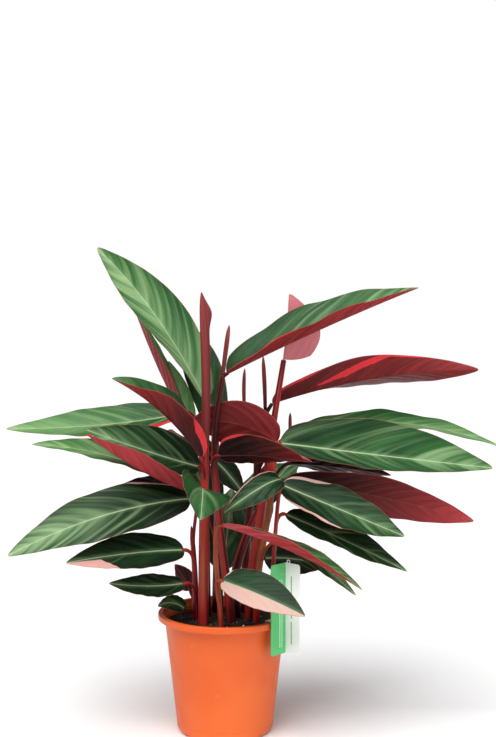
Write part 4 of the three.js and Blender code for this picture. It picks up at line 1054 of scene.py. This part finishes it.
# %% The pot, with its drain holes cut
DRAIN_HOLES, DRAIN_RADIUS, DRAIN_CIRCLE, DRILL_LENGTH = 8, 0.004, 0.04, 0.012  # a count, then metres
DRILL_TURN = math.radians(4)  # so that no corner of a drill falls on a spoke of the floor
pot = piece_from("pot_shell", pot_points, pot_faces, [pot_plastic])
drills = []
for hole in range(DRAIN_HOLES):
    angle = 2 * math.pi * hole / DRAIN_HOLES
    bpy.ops.mesh.primitive_cylinder_add(
        vertices=24, radius=DRAIN_RADIUS, depth=DRILL_LENGTH,
        location=(DRAIN_CIRCLE * math.cos(angle), DRAIN_CIRCLE * math.sin(angle), POT_FLOOR / 2 * MM),
        rotation=(0, 0, angle + DRILL_TURN))
    drills.append(bpy.context.object)
for drill in drills:
    cut = pot.modifiers.new("drain_hole", "BOOLEAN")
    cut.operation = "DIFFERENCE"
    cut.solver = "EXACT"
    cut.object = drill
finished = bpy.data.meshes.new_from_object(pot.evaluated_get(bpy.context.evaluated_depsgraph_get()))
pot.modifiers.clear()
pot.data = finished
for drill in drills:
    bpy.data.objects.remove(drill)
stand_for(pot, "pot")
print("pot faces:", len(pot.data.polygons))

# %% [markdown]
# ## Potting soil
#
# Dark peat with lumps, crumbs, slivers of bark and a few white grains. The surface is a disc of rings
# lifted by waves; the crumbs are hundreds of rough little lumps of twenty faces, set on it in one array
# operation.

# %% The soil's surface
SOIL_EDGE, SOIL_CROWN, SOIL_LUMP, SOIL_GAP = 137, 4, 1.2, 0.5  # mm
soil_reach = body_at(SOIL_EDGE) - POT_WALL - SOIL_GAP


def soil_height(x, y):
    """137 mm at the wall and 4 mm more in the middle, with lumps: waves of 30, 37 and 19 mm and finer."""
    share = np.sqrt(x ** 2 + y ** 2) / soil_reach
    wave = np.sin(x * 2 * np.pi / 30) * np.cos(y * 2 * np.pi / 37) + 0.6 * np.sin((x - y) * 2 * np.pi / 19)
    small = np.sin(x * 1.3 + 2 * np.sin(y * 0.6)) * np.sin(y * 1.5 + 2 * np.sin(x * 0.5))
    fade = np.clip((1 - share) * 8, 0, 1)
    return SOIL_EDGE + SOIL_CROWN * (1 - share ** 2) + (SOIL_LUMP * wave + 0.5 * small) * fade


shares = np.linspace(1, 0, 56)[:-1]
soil_profile = np.vstack([
    [[0, 2.3], [body_at(6) - POT_WALL - SOIL_GAP - 6, 2.3], [body_at(8.3) - POT_WALL - SOIL_GAP, 8.3]],
    np.stack([shares * soil_reach, SOIL_EDGE + 0 * shares], -1), [[0, SOIL_EDGE]]])
soil_points, soil_faces = lathe(soil_profile, 160)
on_top = soil_points[:, 2] >= SOIL_EDGE - 0.01
soil_points[on_top, 2] = soil_height(soil_points[on_top, 0], soil_points[on_top, 1])
print("soil rings:", len(soil_profile))

# %% The crumbs: rough little solids of twenty faces
CRUMBS, CRUMB_REACH = 620, 0.96  # how many, and how far out they lie, so that none meets the wall
soil_random = np.random.default_rng(11)
golden = (1 + math.sqrt(5)) / 2
ico = unit(np.array([
    (0, 1, golden), (0, -1, golden), (0, 1, -golden), (0, -1, -golden), (1, golden, 0), (-1, golden, 0),
    (1, -golden, 0), (-1, -golden, 0), (golden, 0, 1), (golden, 0, -1), (-golden, 0, 1), (-golden, 0, -1)]))
ico_faces = np.array([
    (0, 1, 8), (0, 10, 1), (0, 4, 5), (0, 5, 10), (0, 8, 4), (1, 10, 7), (1, 6, 8), (1, 7, 6), (2, 3, 11),
    (2, 5, 4), (2, 9, 3), (2, 4, 9), (2, 11, 5), (3, 6, 7), (3, 9, 6), (3, 7, 11), (4, 8, 9), (5, 11, 10),
    (6, 9, 8), (7, 10, 11)])
spread = soil_reach * CRUMB_REACH * np.sqrt(soil_random.random(CRUMBS))
around = 2 * np.pi * soil_random.random(CRUMBS)
crumb_x, crumb_y = spread * np.cos(around), spread * np.sin(around)
size = 0.7 + 1.9 * soil_random.random(CRUMBS) ** 3
bumpy = 1 + 0.21 * soil_random.standard_normal((CRUMBS, 12, 1)).clip(-1.5, 1.5)
stretchy = soil_random.uniform(0.6, 1.5, (CRUMBS, 1, 3)) * np.array([1, 1, 0.7])
crumbs = ico[None] * bumpy * stretchy * size[:, None, None]
crumbs += np.stack([crumb_x, crumb_y, soil_height(crumb_x, crumb_y) + 0.15 * size], -1)[:, None]
crumb_faces = (ico_faces[None] + 12 * np.arange(CRUMBS)[:, None, None] + len(soil_points)).reshape(-1, 3)
chance = soil_random.random((2, CRUMBS))
kinds = np.where(chance[0] < 0.04, 2, np.where(chance[1] < 0.25, 1, 0))
print("crumbs:", CRUMBS, "white grains:", int((kinds == 2).sum()))

# %% Soil materials: moist peat, matt; bark chips; perlite grains
def soil_material(name, dark, light, scale, roughness):
    """Fibre and grit: one noise for its colour, its roughness and its relief."""
    material, shader = new_material(name)
    spot = add(material, "TexCoord", out="Object")
    coarse = add(material, "TexNoise", {"Vector": spot, "Scale": scale, "Detail": 6.0, "Roughness": 0.7})
    tone = add(material, "MapRange", {0: coarse, 1: 0.35, 2: 0.7}, **SMOOTH)
    rough = add(material, "MapRange", {0: coarse, 1: 0.3, 2: 0.7, 3: roughness, 4: 1.0}, **SMOOTH)
    bump = add(material, "Bump", {"Strength": 0.8, "Distance": 0.0008, "Height": coarse})
    colour = layers(material, dark, [(tone, light)])
    fill(material, shader, {"Base Color": colour, "Roughness": rough, "Normal": bump})
    return material


peat = soil_material("moist_peat", "#150c08", "#35241a", 420.0, 0.85)
bark = soil_material("bark_chip", "#3a271a", "#6a4c33", 300.0, 0.75)
perlite = soil_material("perlite_grain", "#cfc8ba", "#f1ede2", 500.0, 0.7)
kinds_of_faces = np.concatenate([np.zeros(len(soil_faces), int), np.repeat(kinds, 20)])
soil_all = np.vstack([soil_points, crumbs.reshape(-1, 3)])
soil = piece_from("soil_surface", soil_all, [*soil_faces, *crumb_faces], [peat, bark, perlite],
                  picks=kinds_of_faces)
stand_for(soil, "soil")
print("soil faces:", len(soil.data.polygons))

# %% [markdown]
# ## The plant label and its clip
#
# A care label is a thin printed card, folded once, that hangs on a white plastic hook over the pot's
# lip. It carries no words here: only plain stripes, as a blank of such a card has. A card is a thin
# solid with rounded corners, so each panel is an outline with arcs, given its thickness.

# %% Where the card hangs
LABEL_AZIMUTH, LABEL_BOTTOM, LABEL_TOP, PAST_CLIP, FOLD_ANGLE = -43.5, 110, 222, 9, 92
PANELS, CARD, CORNER = (27, 23), 0.8, 3.0
EYE_RADIUS, EYE_WIRE, EYE_ASIDE = 2.1, 0.7, 5.0  # the small ring above the fold that it can hang by
CLIP_WALL, CLIP_WIDTH, INSIDE_DROP, OUTSIDE_DROP = 1.5, 8, 9, 26
CLIP_INSIDE = BODY_TOP - POT_WALL - 0.6
CLIP_OUTSIDE = POT_RIM + 0.3 + CLIP_WALL
azimuth = math.radians(LABEL_AZIMUTH)
turn = -math.radians(180 - FOLD_ANGLE)
outward = np.array([math.cos(azimuth), math.sin(azimuth)])
along_card = np.array([-outward[1], outward[0]])
card_start = outward * (CLIP_OUTSIDE + 0.3) - along_card * PAST_CLIP
card_fold = card_start + along_card * PANELS[0]
turned = along_card @ np.array([[math.cos(turn), math.sin(turn)], [-math.sin(turn), math.cos(turn)]])
turned_out = np.array([turned[1], -turned[0]])
print("card fold at", card_fold.round(1))

# %% A panel of the card
def card_panel(start, direction, out, width, round_left, round_right):
    """A flat panel: a grid of points (u, v) with its corners drawn in along an arc, 0.72 mm thick."""
    u = np.linspace(0, 1, 28)
    left = np.clip(CORNER - u * width, 0, CORNER) * round_left
    right = np.clip(CORNER - (1 - u) * width, 0, CORNER) * round_right
    inset = CORNER - np.sqrt(np.clip(CORNER ** 2 - np.maximum(left, right) ** 2, 0, None))
    low, high = LABEL_BOTTOM + inset, LABEL_TOP - inset
    z = low + (high - low) * np.linspace(0, 1, 24)[:, None]
    flat = start + direction * (u * width)[:, None]
    sides = []
    for depth in (0.04, CARD - 0.04):
        plane = np.broadcast_to((flat + out * depth)[None], (*z.shape, 2))
        sides.append(np.dstack([plane, z]).reshape(-1, 3))
    grid = np.arange(z.size).reshape(z.shape)
    quads = np.stack([grid[:-1, :-1], grid[:-1, 1:], grid[1:, 1:], grid[1:, :-1]], -1).reshape(-1, 4)
    border = np.concatenate([grid[0, :-1], grid[:-1, -1], grid[-1, :0:-1], grid[:0:-1, 0]])
    after = np.roll(border, -1)
    rim = np.stack([border, after, after + z.size, border + z.size], -1)
    faces = [*quads[:, ::-1], *(quads + z.size), *rim]
    u_mm = np.broadcast_to(u * width, z.shape).ravel()
    place = np.stack([u_mm, z.ravel() - LABEL_BOTTOM, 0 * u_mm], -1)
    return np.vstack(sides), faces, np.vstack([place, place])


# %% Label materials: coated card, green and white, with plain stripes
def card_material(name, ground, stripe, stripes):
    """Coated card: a plain ground with straight stripes, each given by its edges in mm."""
    material, shader = new_material(name)
    place = add(material, "Attribute", out="Vector", attribute_name="card_place")
    from_edge, from_foot = (add(material, "SeparateXYZ", {0: place}, out) for out in range(2))
    spot = add(material, "TexCoord", out="Object")
    fibres = add(material, "TexNoise", {"Vector": spot, "Scale": 900.0, "Detail": 3.0})
    paper = add(material, "MapRange", {0: fibres, 1: 0.3, 2: 0.7, 4: 0.12}, **SMOOTH)
    colour = layers(material, ground, [(paper, "#ffffff")])
    for left, right, low, high in stripes:
        middle, half = (left + right) / 2, (right - left) / 2
        aside = add(material, "Math", {0: from_edge, 1: middle, 2: half}, operation="COMPARE")
        middle, half = (low + high) / 2, (high - low) / 2
        level = add(material, "Math", {0: from_foot, 1: middle, 2: half}, operation="COMPARE")
        inside = add(material, "Math", {0: aside, 1: level}, operation="MULTIPLY")
        colour = layers(material, colour, [(inside, stripe)])
    rough = add(material, "MapRange", {0: fibres, 1: 0.3, 2: 0.7, 3: 0.42, 4: 0.56}, **SMOOTH)
    bump = add(material, "Bump", {"Strength": 0.1, "Distance": 0.0001, "Height": fibres})
    fill(material, shader, {"Base Color": colour, "Roughness": rough, "Normal": bump})
    return material


green_card = card_material("coated_green_card", "#35b85c", "#b9e6c2", [(15, 16.6, 8, 92), (19, 20.2, 8, 92)])
white_card = card_material("coated_white_card", "#f6f7f5", "#8f9a90", [(9, 10.6, 12, 40), (9, 10.6, 44, 96)])
print("card materials:", green_card.name, white_card.name)

# %% The card
first_points, first_faces, first_place = card_panel(card_start, along_card, outward, PANELS[0] + 0.4, 1, 0)
second_points, second_faces, second_place = card_panel(card_fold, turned, turned_out, PANELS[1], 0, 1)
around_eye = np.linspace(0, 2 * np.pi, 32, endpoint=False)[:, None]
round_wire = np.linspace(0, 2 * np.pi, 12, endpoint=False)[None, :]
eye_reach = EYE_RADIUS + EYE_WIRE * np.cos(round_wire)
eye_flat = card_fold + turned * EYE_ASIDE + turned_out * CARD / 2
eye_flat = eye_flat + (eye_reach * np.cos(around_eye))[..., None] * turned
eye_flat = eye_flat + (0 * around_eye + CARD / 2 * np.sin(round_wire))[..., None] * turned_out
eye_height = LABEL_TOP + EYE_RADIUS - 0.5 + eye_reach * np.sin(around_eye)
eye_points = np.dstack([eye_flat, eye_height]).reshape(-1, 3)
eye_faces = ring_faces(33, 12)[:, ::-1] % len(eye_points)
card_points = np.vstack([first_points, second_points, eye_points])
second_faces = [face + len(first_points) for face in second_faces]
eye_faces = [*(eye_faces + len(first_points) + len(second_points))]
card = piece_from(
    "label_panels", card_points, [*first_faces, *second_faces, *eye_faces], [green_card, white_card],
    smooth=False, values={"card_place": np.vstack([first_place, second_place, 0 * eye_points])},
    picks=[0] * len(first_faces) + [1] * (len(second_faces) + len(eye_faces)))
stand_for(card, "label_card")
print("card faces:", len(card.data.polygons))

# %% Clip material: white polystyrene, glossy
clip_plastic, clip_shader = new_material("white_polystyrene")
clip_spot = add(clip_plastic, "TexCoord", out="Object")
clip_noise = add(clip_plastic, "TexNoise", {"Vector": clip_spot, "Scale": 300.0, "Detail": 3.0})
clip_tone = layers(clip_plastic, "#e4e6e4", [(clip_noise, "#f6f6f4")])
clip_rough = add(clip_plastic, "MapRange", {0: clip_noise, 1: 0.3, 2: 0.7, 3: 0.28, 4: 0.36}, **SMOOTH)
fill(clip_plastic, clip_shader, {"Base Color": clip_tone, "Roughness": clip_rough})


# %% The clip: a strip that hooks over the lip
def hook_path():
    """The clip's middle line: up inside the wall, over the lip with round corners, and down outside."""
    top = POT_HEIGHT + 0.3 + CLIP_WALL / 2
    inner, outer = CLIP_INSIDE - CLIP_WALL / 2, CLIP_OUTSIDE - CLIP_WALL / 2
    return np.vstack([
        np.stack([np.full(12, inner), np.linspace(POT_HEIGHT - INSIDE_DROP, top - 1.2, 12)], -1),
        arc((inner + 1.2, top - 1.2), 1.2, 180, 90, 6),
        np.stack([np.linspace(inner + 1.2, outer - 1.2, 12), np.full(12, top)], -1),
        arc((outer - 1.2, top - 1.2), 1.2, 90, 0, 6),
        np.stack([np.full(16, outer), np.linspace(top - 1.2, POT_HEIGHT - OUTSIDE_DROP, 16)], -1)])


hook = hook_path()
ahead = unit(np.gradient(hook, axis=0))
square = np.stack([ahead[:, 1], -ahead[:, 0]], -1)
turn_round = np.linspace(0, 2 * np.pi, 24, endpoint=False)
circle = np.array([np.cos(turn_round), np.sin(turn_round)])
blunt = np.sign(circle) * np.abs(circle) ** 0.35
sideways = blunt[0] * (CLIP_WIDTH / 2 - 0.05)
through = blunt[1] * (CLIP_WALL / 2 - 0.02)
radial = (hook[:, :1] + square[:, :1] * through)[..., None]
height = (hook[:, 1:] + square[:, 1:] * through)[..., None]
flat_place = outward * radial + along_card * sideways[None, :, None]
clip_points = np.concatenate([flat_place, height], -1).reshape(-1, 3)
clip_ends = [np.arange(24), np.arange(24)[::-1] + 24 * (len(hook) - 1)]
clip = piece_from("label_hook", clip_points, [*ring_faces(len(hook), 24)[:, ::-1], *clip_ends],
                  [clip_plastic], smooth=False)
stand_for(clip, "label_clip")
print("hook rings:", len(hook))

# %% [markdown]
# ## Camera, floor and light
#
# A studio picture for a plant shop: a white floor that runs into a white background, one large soft
# light from above and the left, and a weaker one to fill. The lens is about 56 mm.

# %% Camera
camera_data = bpy.data.cameras.new("camera")
camera_data.lens = 55.7
camera_data.sensor_width = 36
camera = bpy.data.objects.new("camera", camera_data)
camera.location = (0.0293, -1.442, 0.5126)
camera.rotation_euler = (math.pi / 2 - 0.037, 0, 0)
bpy.context.scene.collection.objects.link(camera)
bpy.context.scene.camera = camera
print("camera at", tuple(camera.location))

# %% Floor: matt white studio paper
floor_paper, floor_shader = new_material("white_studio_paper")
fill(floor_paper, floor_shader, {"Base Color": "#f6f6f6", "Roughness": 0.9, "Specular IOR Level": 0.2})
bpy.ops.mesh.primitive_plane_add(size=14, location=(0, 0, -0.0005))
floor = bpy.context.object
floor.name = "studio_floor"
floor.data.materials.append(floor_paper)
print("floor:", floor.name)

# %% The white room: bright where the camera looks past the plant, dimmer as a light
world = bpy.data.worlds.new("studio")
bpy.context.scene.world = world
world.use_nodes = True
tree = world.node_tree
paper_white = tree.nodes["Background"]
room = tree.nodes.new("ShaderNodeBackground")
seen = tree.nodes.new("ShaderNodeLightPath")
either = tree.nodes.new("ShaderNodeMixShader")
for background, strength in ((paper_white, 1.0), (room, 0.25)):
    background.inputs["Color"].default_value = (1, 1, 1, 1)
    background.inputs["Strength"].default_value = strength
tree.links.new(seen.outputs["Is Camera Ray"], either.inputs[0])
tree.links.new(room.outputs[0], either.inputs[1])
tree.links.new(paper_white.outputs[0], either.inputs[2])
tree.links.new(either.outputs[0], tree.nodes["World Output"].inputs[0])
print("room strength:", room.inputs["Strength"].default_value)

# %% Lights
overhead_data = bpy.data.lights.new("overhead_softbox", "SUN")
overhead_data.energy = 3.5
overhead_data.angle = math.radians(50)
overhead = bpy.data.objects.new("overhead_softbox", overhead_data)
overhead.rotation_euler = (math.radians(26), math.radians(-16), 0)
bpy.context.scene.collection.objects.link(overhead)

fill_data = bpy.data.lights.new("fill_softbox", "AREA")
fill_data.shape = "SQUARE"
fill_data.size = 1.2
fill_data.energy = 13
fill_light = bpy.data.objects.new("fill_softbox", fill_data)
fill_light.location = (1.4, -1.6, 1.0)
fill_light.rotation_euler = (math.radians(72), 0, math.radians(41))
bpy.context.scene.collection.objects.link(fill_light)
bpy.context.scene.view_settings.view_transform = "Standard"
print("lights:", overhead.name, fill_light.name)
